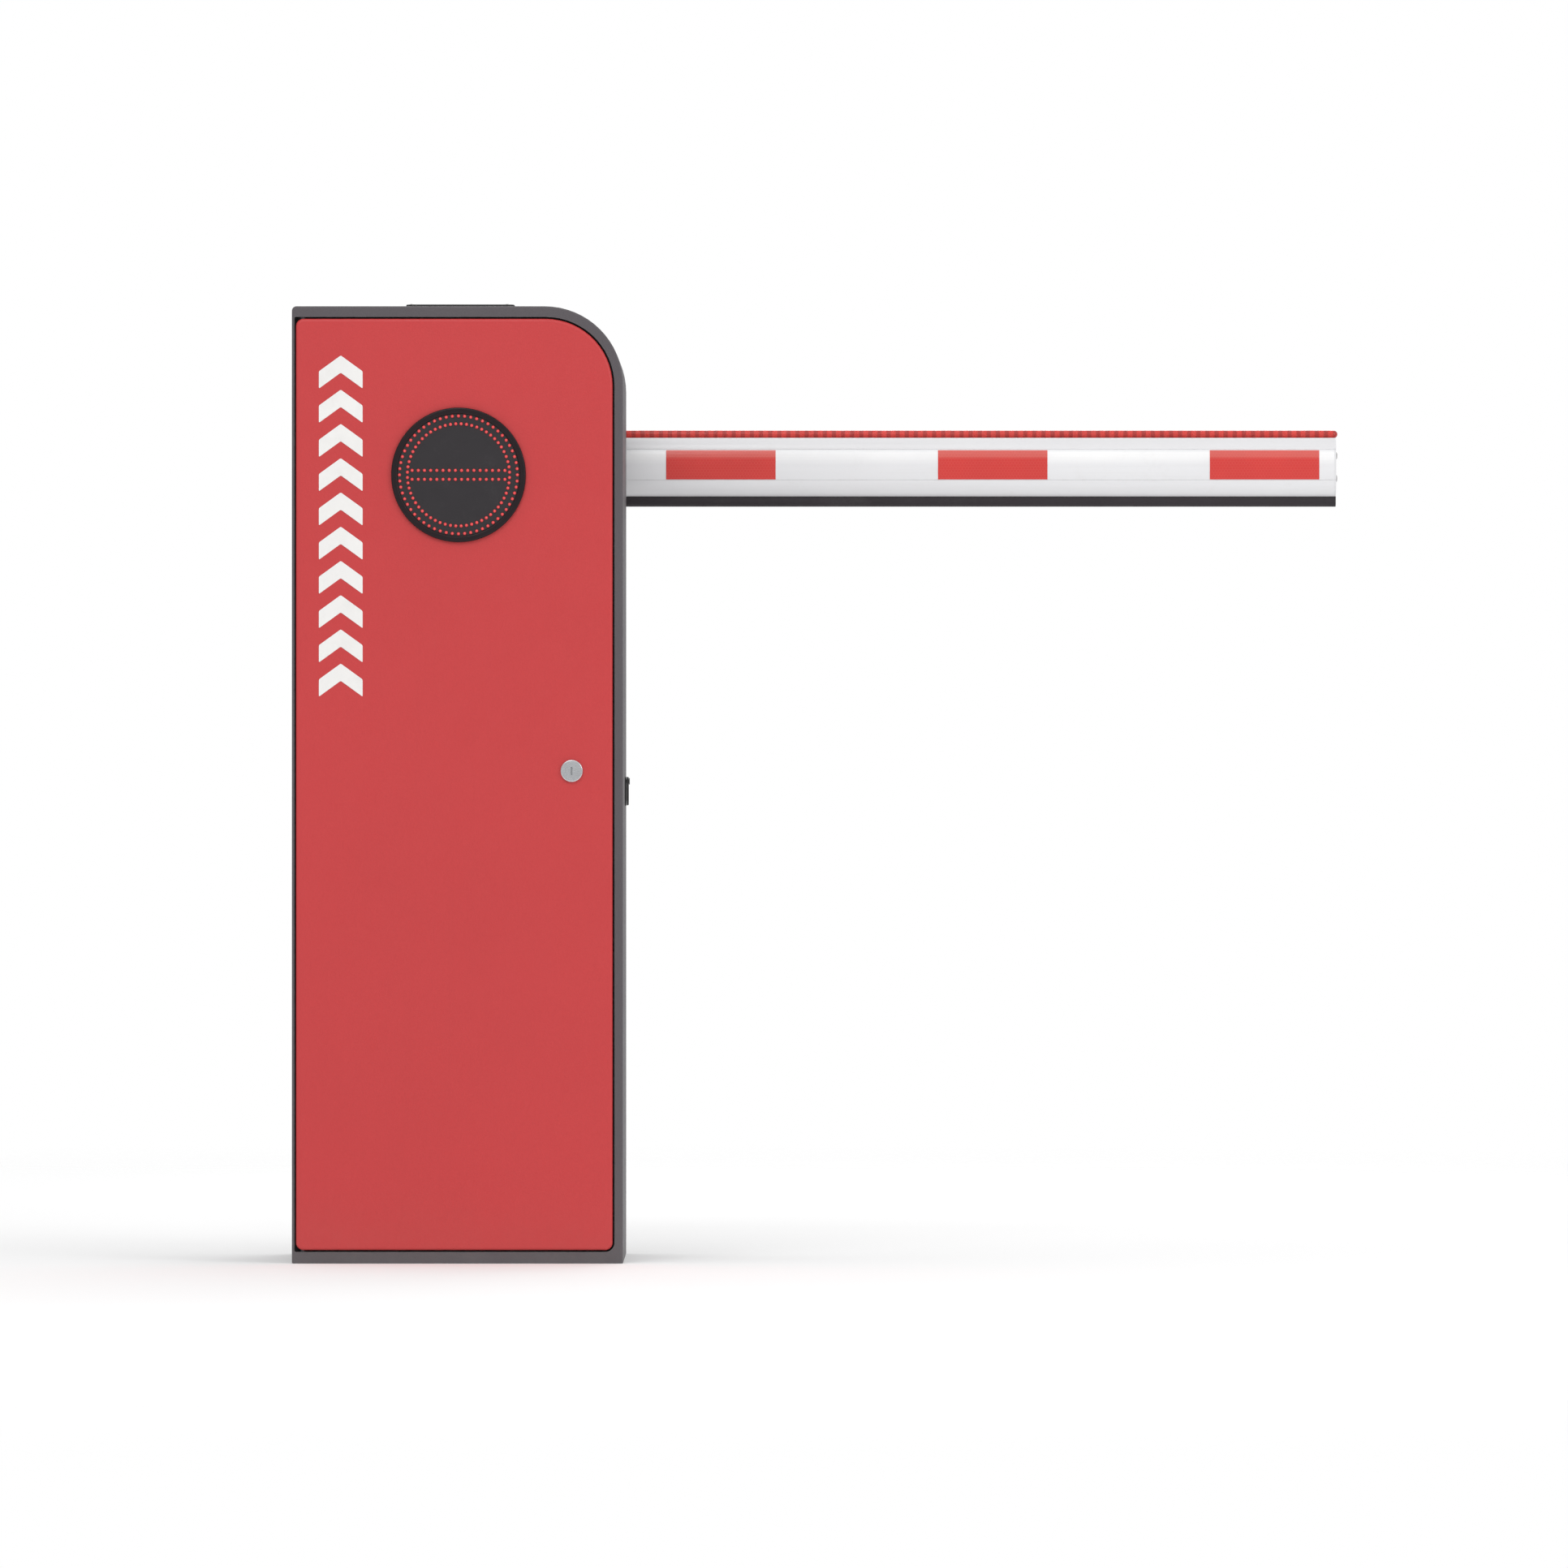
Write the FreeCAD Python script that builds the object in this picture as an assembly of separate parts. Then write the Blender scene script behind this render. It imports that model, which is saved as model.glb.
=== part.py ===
import FreeCAD, Part
import math
import os

# Parking barrier gate: a sheet-steel cabinet with a hinged front door, a short aluminium boom on a shaft
# through the rear wall, and the drive inside it. Millimetres, +Z up, the door faces -Y, the boom points to +X.
# The origin is the centre of the cabinet's footprint, on the ground.

os.makedirs("parts", exist_ok=True)
V = FreeCAD.Vector

# ---------------------------------------------------------------- driving dimensions
CAB_W, CAB_H = 355.0, 1026.0          # cabinet width and height
FRONT_Y, REAR_Y = -146.0, 148.0       # outer faces of the cabinet's sheet
SHEET = 2.0
BEND_R = 1.8                          # outside radius of the bent sheet
CORNER_R = 84.0                       # large top corner on the boom's side
XL, XR = -CAB_W / 2, CAB_W / 2

DOOR_X0, DOOR_X1 = -173.0, 166.5
DOOR_Z0, DOOR_Z1 = 14.0, 1012.5
DOOR_FACE_Y, DOOR_BACK_Y = -148.0, -128.0
DOOR_SHEET = 1.5
DOOR_R, DOOR_SMALL_R = 72.0, 8.0
DOOR_GAP = 2.0
HINGE_X, HINGE_Y, HINGE_PIN_R = -166.0, -140.5, 3.0
REBATE_Y0, REBATE_Y1 = -125.5, -123.5

IND_X, IND_Z = 1.3, 845.0             # round traffic indicator in the door
IND_R, IND_FACE_R = 72.2, 65.4
LED_R = 1.75
LED_RING_1, LED_RING_2 = 63.2, 54.8
LED_ROW_Z, LED_ROW_N, LED_ROW_PITCH = 4.8, 16, 6.63

LOCK_X, LOCK_Z, LOCK_R = 122.6, 527.7, 12.0
TOP_COVER_W, TOP_COVER_H = 117.0, 4.6
RELEASE_Y, RELEASE_Z = 30.0, 505.9

SHAFT_X, SHAFT_Z, SHAFT_R = 0.0, 860.0, 17.5
CRANK_X, CRANK_Z = 80.0, 640.0        # gearbox output shaft
IDLER_Z, MOTOR_Z = 565.0, 497.5
ARM_R = 55.0                          # equal crank and rocker radius: the linkage is a parallelogram
ARM_REST_DEG = -30.0
SPRING_ARM_R = 55.0

PLATE_F0, PLATE_F1 = -24.0, -16.0     # front plate of the drive frame
PLATE_R0, PLATE_R1 = 100.0, 108.0     # rear plate

BOOM_Y = 191.5                        # centre plane of the boom
BOOM_X0, BOOM_X1 = -110.0, 953.6
BOOM_Z0 = 829.2                       # underside of the aluminium profile
BOOM_H = 64.4
TUBE_R, TUBE_Z = 4.3, 897.6
TUBE_X0, TUBE_X1 = 158.0, 957.8
BUMPER_H = 11.0
STRIP_X = [221.0, 519.0, 817.0]       # reflective strips
STRIP_L = 120.0
# the band between the boom's two grooves, drawn as narrow flats: distance from the centre plane, height over the underside
BAND = [(20.1, 50.8), (20.9, 48.6), (21.55, 46.0), (22.05, 43.0), (22.4, 39.5), (22.6, 35.0), (22.6, 28.0), (22.2, 18.2)]


def save(name, shape):
    if isinstance(shape, (list, tuple)):
        shape = Part.makeCompound(list(shape))
    n = len(shape.Solids)
    if n == 0 or not all(s.isValid() and s.Volume > 0 for s in shape.Solids):
        print("PROBLEM", name, n, [round(s.Volume, 1) for s in shape.Solids], [s.isValid() for s in shape.Solids])
    if n == 1:
        shape = shape.Solids[0]
    shape.exportStep("parts/%s.step" % name)


def box(x0, x1, y0, y1, z0, z1):
    return Part.makeBox(x1 - x0, y1 - y0, z1 - z0, V(x0, y0, z0))


def cy(x, z, r, y0, y1):
    return Part.makeCylinder(r, y1 - y0, V(x, y0, z), V(0, 1, 0))


def cz(x, y, r, z0, z1):
    return Part.makeCylinder(r, z1 - z0, V(x, y, z0), V(0, 0, 1))


def cx(y, z, r, x0, x1):
    return Part.makeCylinder(r, x1 - x0, V(x0, y, z), V(1, 0, 0))


def fuse(first, *rest):
    out = first.multiFuse(list(rest)) if rest else first
    return out.removeSplitter()


def arc(a, b, c):
    return Part.Arc(a, b, c).toShape()


def rrect(x0, x1, z0, z1, bl, br, tr, tl, y=0.0):
    """Face in the XZ plane at y: a rectangle with four corner radii."""
    e = []
    k = math.sqrt(0.5)
    def p(x, z):
        return V(x, y, z)
    def line(a, b):
        if (a - b).Length > 1e-6:
            e.append(Part.makeLine(a, b))
    line(p(x0 + bl, z0), p(x1 - br, z0))
    if br:
        e.append(arc(p(x1 - br, z0), p(x1 - br + br * k, z0 + br - br * k), p(x1, z0 + br)))
    line(p(x1, z0 + br), p(x1, z1 - tr))
    if tr:
        e.append(arc(p(x1, z1 - tr), p(x1 - tr + tr * k, z1 - tr + tr * k), p(x1 - tr, z1)))
    line(p(x1 - tr, z1), p(x0 + tl, z1))
    if tl:
        e.append(arc(p(x0 + tl, z1), p(x0 + tl - tl * k, z1 - tl + tl * k), p(x0, z1 - tl)))
    line(p(x0, z1 - tl), p(x0, z0 + bl))
    if bl:
        e.append(arc(p(x0, z0 + bl), p(x0 + bl - bl * k, z0 + bl - bl * k), p(x0 + bl, z0)))
    return Part.Face(Part.Wire(e))


def slab(x0, x1, z0, z1, radii, y0, y1):
    return rrect(x0, x1, z0, z1, *radii, y=y0).extrude(V(0, y1 - y0, 0))


def poly_y(points, y0, y1):
    """Prism along Y from (x, z) points."""
    w = Part.makePolygon([V(x, y0, z) for x, z in points] + [V(points[0][0], y0, points[0][1])])
    return Part.Face(w).extrude(V(0, y1 - y0, 0))


def poly_x(points, x0, x1):
    """Prism along X from (y, z) points."""
    w = Part.makePolygon([V(x0, y, z) for y, z in points] + [V(x0, points[0][0], points[0][1])])
    return Part.Face(w).extrude(V(x1 - x0, 0, 0))


def plate_z(x0, x1, y0, y1, r, z0, z1):
    """Rounded plate lying flat."""
    s = slab(x0, x1, y0, y1, (r, r, r, r), 0, z1 - z0)       # in XZ with the thickness along Y
    s.rotate(V(0, 0, 0), V(1, 0, 0), 90)                      # y->z, z->-y
    bb = s.BoundBox
    s.translate(V(x0 - bb.XMin, y0 - bb.YMin, z0 - bb.ZMin))
    return s


def hex_y(x, z, af, y0, y1, turn=0.0):
    r = af / math.sqrt(3)
    pts = [(x + r * math.cos(math.radians(60 * k + turn)), z + r * math.sin(math.radians(60 * k + turn))) for k in range(6)]
    return poly_y(pts, y0, y1)


def hull2(xa, za, ra, xb, zb, rb, y0, y1):
    """Prism along Y around two circles one above the other, with straight tangent sides."""
    d = za - zb
    s = (ra - rb) / d
    c = math.sqrt(1 - s * s)
    ta = (xa + ra * c, za - ra * s)
    tb = (xb + rb * c, zb - rb * s)
    pts = [ta, tb]
    e = [
        Part.makeLine(V(ta[0], y0, ta[1]), V(tb[0], y0, tb[1])),
        arc(V(tb[0], y0, tb[1]), V(xb, y0, zb - rb), V(2 * xb - tb[0], y0, tb[1])),
        Part.makeLine(V(2 * xb - tb[0], y0, tb[1]), V(2 * xa - ta[0], y0, ta[1])),
        arc(V(2 * xa - ta[0], y0, ta[1]), V(xa, y0, za + ra), V(ta[0], y0, ta[1])),
    ]
    return Part.Face(Part.Wire(e)).extrude(V(0, y1 - y0, 0))


def link(xa, za, ra, xb, zb, rb, y0, y1):
    """Tapered bar with round ends between two points, at any angle."""
    L = math.hypot(xb - xa, zb - za)
    body = hull2(0, L, ra, 0, 0, rb, y0, y1)
    ang = math.degrees(math.atan2(za - zb, xa - xb)) - 90.0
    body.rotate(V(0, 0, 0), V(0, 1, 0), -ang)
    body.translate(V(xb, 0, zb))
    return body


def edges_at(shape, test):
    return [e for e in shape.Edges if test(e)]


# ---------------------------------------------------------------- cabinet
def cabinet():
    outer = slab(XL, XR, 0, CAB_H, (0, 0, CORNER_R, 5.0), FRONT_Y, REAR_Y)
    rims = edges_at(outer, lambda e: e.BoundBox.ZMax > 1.0 and e.BoundBox.YMax - e.BoundBox.YMin < 1e-4)
    outer = outer.makeFillet(BEND_R, rims)
    inner = slab(XL + SHEET, XR - SHEET, -5, CAB_H - SHEET, (0, 0, CORNER_R - SHEET, 3.0), FRONT_Y + SHEET, REAR_Y - SHEET)
    opening = slab(DOOR_X0 - 1.7, DOOR_X1 + DOOR_GAP, DOOR_Z0 - DOOR_GAP, DOOR_Z1 + DOOR_GAP,
                   (1.5, 10, DOOR_R + 2, 1.5), FRONT_Y - 5, FRONT_Y + 5)
    shell = outer.cut(inner).cut(opening)
    # rebate behind the door, spot welded to the sheet
    ring = slab(XL + SHEET, XR - SHEET, 6.0, CAB_H - SHEET, (0, 0, CORNER_R - SHEET, 3.0), REBATE_Y0, REBATE_Y1)
    ring = ring.cut(slab(-147.0, 153.0, 27.0, 999.0, (4, 4, 57.0, 4), REBATE_Y0 - 1, REBATE_Y1 + 1))
    # angle brackets that carry the drive frame
    for s in (-1, 1):
        xw = s * (XR - SHEET)
        a, b = sorted((xw, xw - 3 * s))
        leg = box(a, b, 74, PLATE_R1 + 3, 470, 925)
        a, b = sorted((xw, xw - 38 * s))
        foot = box(a, b, PLATE_R1, PLATE_R1 + 3, 470, 925)
        for z in (500, 700, 895):
            foot = foot.cut(cy(s * 146.5, z, 5.5, PLATE_R1 - 1, PLATE_R1 + 5))
        shell = shell.fuse(leg).fuse(foot)
    shell = shell.fuse(ring)
    # shaft hole, antenna window, release lock hole
    shell = shell.cut(cy(SHAFT_X, SHAFT_Z, 32.0, REAR_Y - 5, REAR_Y + 5))
    shell = shell.cut(box(IND_X - 50, IND_X + 50, -64, -16, CAB_H - 6, CAB_H + 5))
    shell = shell.cut(cx(RELEASE_Y, RELEASE_Z - 2.0, 9.0, XR - 5, XR + 5))
    # louvres for air, under the boom: slots in the rear wall, each under a pressed rain hood with closed ends
    y = REAR_Y
    for k in range(6):
        z = 300 + 16 * k
        zt = z + 5.0
        shell = shell.cut(slab(-60, 60, z, zt, (2.4, 2.4, 2.4, 2.4), y - 5, y + 5))
        roof = [(y, zt + 3.4), (y + 1.3, zt + 3.0), (y + 2.9, zt + 1.7), (y + 4.0, zt - 0.4), (y + 4.5, zt - 3.2)]
        under = [(y + 3.3, zt - 3.2), (y + 2.9, zt - 0.9), (y + 2.0, zt + 0.6), (y + 0.8, zt + 1.7), (y, zt + 1.9)]
        shell = shell.fuse(poly_x(roof + under, -62.5, 62.5))
        cheek = roof + [(y + 2.6, zt - 5.2), (y, zt - 6.4)]
        shell = shell.fuse(poly_x(cheek, -63.7, -62.5)).fuse(poly_x(cheek, 62.5, 63.7))
    shell = shell.removeSplitter()
    save("cabinet_shell", shell)

    base = box(XL + SHEET, XR - SHEET, FRONT_Y + SHEET, REAR_Y - SHEET, 0, 6.0)
    for x in (-135, 135):
        for y in (-105, 105):
            base = base.cut(cz(x, y, 8.0, -1, 7))
    cable = plate_z(-60, 60, -20, 60, 12.0, -1, 7)
    save("base_plate", base.cut(cable))

    # rubber seal on the rebate; the door's return flange closes on it
    seal = slab(-157.5, 162.0, 18.5, 1008.0, (6, 6, 67.5, 6), DOOR_BACK_Y, REBATE_Y0)
    seal = seal.cut(slab(-149.5, 154.5, 26.0, 1000.5, (4, 4, 60.0, 4), DOOR_BACK_Y - 1, REBATE_Y0 + 1))
    save("door_gasket", seal)

    # hinge brackets with their pins, top and bottom
    up = box(XL + SHEET, -155, -143.5, -133, DOOR_Z1 + 2.1, CAB_H - SHEET)
    up = fuse(up, cz(HINGE_X, HINGE_Y, HINGE_PIN_R, DOOR_Z1 - 11.5, CAB_H - SHEET - 1))
    # small corner relief so that the block clears the cabinet's bend
    up = up.common(slab(XL + SHEET, -150, 0, CAB_H - SHEET, (0, 0, 0, 3.0), -150, -120))
    low = box(XL + SHEET, -155, -143.5, -133, 6.0, DOOR_Z0 - 2.1)
    low = fuse(low, cz(HINGE_X, HINGE_Y, HINGE_PIN_R, 7.0, DOOR_Z0 + 11.5))
    save("hinge_brackets", [up, low])

    # radio-transparent cover over the remote receiver's antenna
    cover = plate_z(IND_X - TOP_COVER_W / 2, IND_X + TOP_COVER_W / 2, -72, -8, 9.0, CAB_H, CAB_H + TOP_COVER_H)
    top_edges = edges_at(cover, lambda e: abs(e.BoundBox.ZMin - (CAB_H + TOP_COVER_H)) < 1e-3)
    try:
        cover = cover.makeFillet(1.0, top_edges)
    except Exception as err:
        print("cover fillet skipped", err)
    plug = box(IND_X - 49.8, IND_X + 49.8, -63.8, -16.2, CAB_H - 10, CAB_H)
    plug = plug.cut(box(IND_X - 47.5, IND_X + 47.5, -61.5, -18.5, CAB_H - 11, CAB_H - 0.5))
    save("antenna_cover", fuse(cover, plug))

    # seal ring around the shaft where it leaves the rear wall
    seal = cy(SHAFT_X, SHAFT_Z, 40.0, REAR_Y, REAR_Y + 3.0).fuse(cy(SHAFT_X, SHAFT_Z, 31.8, REAR_Y - 4, REAR_Y))
    seal = seal.cut(cy(SHAFT_X, SHAFT_Z, SHAFT_R + 0.6, REAR_Y - 5, REAR_Y + 5))
    save("shaft_seal", seal.removeSplitter())


# ---------------------------------------------------------------- drive frame
BRG_BOLT = 38.0
COLUMNS = ((-58.0, 922.0), (123.0, 922.0), (127.0, 566.0), (6.0, 566.0))


def drive_frame():
    rear = slab(-150, 150, 455, 945, (10, 10, 40, 10), PLATE_R0, PLATE_R1)
    rear = rear.cut(cy(SHAFT_X, SHAFT_Z, 28.0, PLATE_R0 - 1, PLATE_R1 + 1))
    rear = rear.cut(slab(-120, -20, 560, 760, (20, 20, 20, 20), PLATE_R0 - 1, PLATE_R1 + 1))
    rear = rear.cut(cy(CRANK_X, CRANK_Z, 15.05, PLATE_R0 - 1, PLATE_R1 + 1))
    save("drive_rear_plate", rear)

    front = poly_y([(-76, 790), (-76, 912), (-56, 940), (124, 940), (156, 908), (156, 552), (-8, 552), (-8, 690)], PLATE_F0, PLATE_F1)
    front = front.cut(cy(SHAFT_X, SHAFT_Z, 28.0, PLATE_F0 - 1, PLATE_F1 + 1))
    front = front.cut(cy(CRANK_X, CRANK_Z, 18.0, PLATE_F0 - 1, PLATE_F1 + 1))
    front = front.cut(slab(72, 138, 750, 890, (14, 14, 14, 14), PLATE_F0 - 1, PLATE_F1 + 1))
    save("drive_front_plate", front)

    cols = []
    for x, z in COLUMNS:
        c = hex_y(x, z, 19.0, PLATE_F1, PLATE_R0, 0)
        cols.append(c)
    save("drive_spacers", cols)

    # bearings on the two plates
    houses, bolts = [], []
    for side in (0, 1):
        y0, y1, y2 = (PLATE_F0, PLATE_F0 - 13, PLATE_F0 - 28) if side == 0 else (PLATE_R1, PLATE_R1 + 13, PLATE_R1 + 28)
        a, b = sorted((y0, y1))
        fl = slab(SHAFT_X - 52, SHAFT_X + 52, SHAFT_Z - 52, SHAFT_Z + 52, (16, 16, 16, 16), a, b)
        a2, b2 = sorted((y0, y2))
        h = fuse(fl, cy(SHAFT_X, SHAFT_Z, 39.0, a2, b2))
        h = h.cut(cy(SHAFT_X, SHAFT_Z, 27.5, a2 - 1, b2 + 1))
        # grease nipple on top of the boss
        yn = (y1 + y2) / 2
        h = fuse(h, cz(SHAFT_X, yn, 3.2, SHAFT_Z + 36, SHAFT_Z + 45), Part.makeSphere(3.0, V(SHAFT_X, yn, SHAFT_Z + 46)))
        houses.append(h)
        for dx in (-1, 1):
            for dz in (-1, 1):
                x, z = SHAFT_X + dx * BRG_BOLT, SHAFT_Z + dz * BRG_BOLT
                s = -1 if side == 0 else 1
                w = cy(x, z, 9.5, *sorted((y1, y1 + s * 1.6)))
                hd = hex_y(x, z, 15.0, *sorted((y1 + s * 1.6, y1 + s * 8.0)), 15)
                bolts.append(fuse(w, hd))
    save("bearing_housings", houses)
    # hex bolts of the columns and of the rear plate's edges
    for x, z in COLUMNS:
        if z > 700:
            bolts.append(fuse(cy(x, z, 9.0, PLATE_F0 - 1.6, PLATE_F0), hex_y(x, z, 15.0, PLATE_F0 - 8, PLATE_F0 - 1.6, 0)))
        bolts.append(fuse(cy(x, z, 9.0, PLATE_R1, PLATE_R1 + 1.6), hex_y(x, z, 15.0, PLATE_R1 + 1.6, PLATE_R1 + 8, 0)))
    for s in (-1, 1):
        for z in (500, 700, 895):
            bolts.append(fuse(cy(s * 142.0, z, 9.0, PLATE_R0 - 1.6, PLATE_R0), hex_y(s * 142.0, z, 15.0, PLATE_R0 - 8, PLATE_R0 - 1.6, 0)))
    save("drive_bolts", bolts)

    # spring anchor: a shelf welded to a foot, bolted on the rear plate
    shelf = box(-82, -4, -6, PLATE_R0, 470, 478).fuse(box(-82, -4, PLATE_R0 - 6, PLATE_R0, 478, 520))
    shelf = shelf.fuse(poly_x([(PLATE_R0 - 6, 478), (PLATE_R0 - 46, 478), (PLATE_R0 - 6, 518)], -82, -77)).fuse(
        poly_x([(PLATE_R0 - 6, 478), (PLATE_R0 - 46, 478), (PLATE_R0 - 6, 518)], -9, -4))
    for y in SPRING_Y:
        shelf = shelf.cut(cz(SPRING_BOT[0], y, 5.2, 460, 490))
    save("spring_anchor_bracket", shelf.removeSplitter())

    # end stops for the boom: rubber buffers on studs in two angle brackets
    brackets, rubbers = [], []
    for x, z, ang in STOPS:
        d = V(math.cos(math.radians(ang)), 0, math.sin(math.radians(ang)))
        base = V(x, 82.75, z)
        rubbers.append(Part.makeCylinder(9.0, 12.0, base + d * 0.5, d))
        stud = Part.makeCylinder(4.0, 34.0, base + d * 12.5, d)
        nut = Part.makeCylinder(8.0, 5.0, base + d * 12.5, d)
        nut2 = Part.makeCylinder(8.0, 5.0, base + d * 36.5, d)
        blk = Part.makeBox(8, 22, 26, V(0, -11, -13))
        blk = blk.fuse(Part.makeBox(24, 6.25, 26, V(0, 11, -13)))
        blk = blk.cut(Part.makeCylinder(4.0, 20, V(-5, 0, 0), V(1, 0, 0)))
        blk.rotate(V(0, 0, 0), V(0, 1, 0), -ang)
        blk.translate(base + d * 24.5)
        brackets.append(fuse(blk, stud, nut, nut2))
    save("stop_buffers", rubbers)
    save("stop_brackets", brackets)


# ---------------------------------------------------------------- balance springs
SPRING_Y = (14.0, 58.0)
SPRING_TOP = (SHAFT_X - SPRING_ARM_R, SHAFT_Z)
SPRING_BOT = (-40.0, 545.0)
# the stop lugs stand on the rocker's hub; each buffer waits where a lug ends its quarter turn
STOP_R = 40.0


def spring_solid(y):
    tx, tz = SPRING_TOP
    bx, bz = SPRING_BOT
    L = math.hypot(tx - bx, tz - bz)
    wire_r, coil_r = 1.8, 11.0
    z0, z1 = 24.0, L - 24.0
    turns = 34
    pitch = (z1 - z0) / turns
    helix = Part.makeHelix(pitch, z1 - z0, coil_r)
    helix.translate(V(0, 0, z0))
    prof = Part.Wire([Part.makeCircle(wire_r, V(coil_r, 0, z0), V(0, 1, 0))])
    coil = Part.Wire(helix.Edges).makePipeShell([prof], True, True)
    # end turns close and run into a straight leg and a round hook
    parts = [coil]
    for end in (0, 1):
        zc = z0 if end == 0 else z1
        s = -1 if end == 0 else 1
        path = [V(coil_r, 0, zc)]
        for k in range(1, 7):
            t = k / 6.0
            path.append(V(coil_r * (1 - t * t), 0, zc + s * 8.0 * math.sin(t * math.pi / 2)))
        ring_c = 0 if end == 0 else L
        hook_r = 9.6
        # straight leg to the hook's ring
        leg_end = V(0, 0, ring_c - s * hook_r)
        path.append((path[-1] + leg_end) * 0.5)
        path.append(leg_end)
        bs = Part.BSplineCurve()
        bs.interpolate(path)
        e = bs.toShape()
        t0 = bs.tangent(bs.FirstParameter)[0]
        pr = Part.Wire([Part.makeCircle(wire_r, path[0], t0)])
        parts.append(Part.Wire([e]).makePipeShell([pr], True, False))
        ring = Part.makeTorus(hook_r, wire_r, V(0, 0, ring_c), V(0, 1, 0))
        parts.append(ring)
    s = parts[0].multiFuse(parts[1:])
    ang = math.degrees(math.atan2(tx - bx, tz - bz))
    s.rotate(V(0, 0, 0), V(0, 1, 0), ang)
    s.translate(V(bx, y, bz))
    return s


def springs():
    save("balance_springs", [spring_solid(y) for y in SPRING_Y])
    rods = []
    for y in SPRING_Y:
        x, z = SPRING_BOT
        # eye of the adjusting rod: a ring that the spring's hook passes through, turned a quarter to it
        eye = Part.makeTorus(9.0, 3.2, V(x, y, z - 13.5), V(1, 0, 0))
        rod = cz(x, y, 5.0, 440, z - 13.5 - 9.0 + 1.5)
        nuts = [
            Part.makeCylinder(9.0, 7.0, V(x, y, 463.0)),
            Part.makeCylinder(9.0, 7.0, V(x, y, 455.0)),
        ]
        rods.append(eye.multiFuse([rod] + nuts))
    save("spring_tension_rods", rods)


# ---------------------------------------------------------------- gears
def gear(z, m, x, zc, y0, y1, phase, backlash=0.16, add=0.95):
    rp = m * z / 2.0
    rb = rp * math.cos(math.radians(20))
    ra = rp + add * m
    rf = rp - 1.25 * m
    inv = lambda a: math.tan(a) - a
    psi_p = math.pi / (2 * z) - backlash / (2 * rp)
    def half(r):
        if r <= rb:
            return psi_p + inv(math.radians(20))
        return psi_p + inv(math.radians(20)) - inv(math.acos(rb / r))
    start = max(rb, rf)
    n = 4
    radii = [start + (ra - start) * k / (n - 1) for k in range(n)]
    pts = []
    for k in range(z):
        c = phase + 2 * math.pi * k / z
        side = []
        if rf < rb:
            side.append((rf, half(rb)))
        side += [(r, half(r)) for r in radii]
        for r, h in side:
            pts.append((r, c - h))
        for r, h in reversed(side):
            pts.append((r, c + h))
    p = [(x + r * math.cos(a), zc + r * math.sin(a)) for r, a in pts]
    return poly_y(p, y0, y1)


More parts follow.
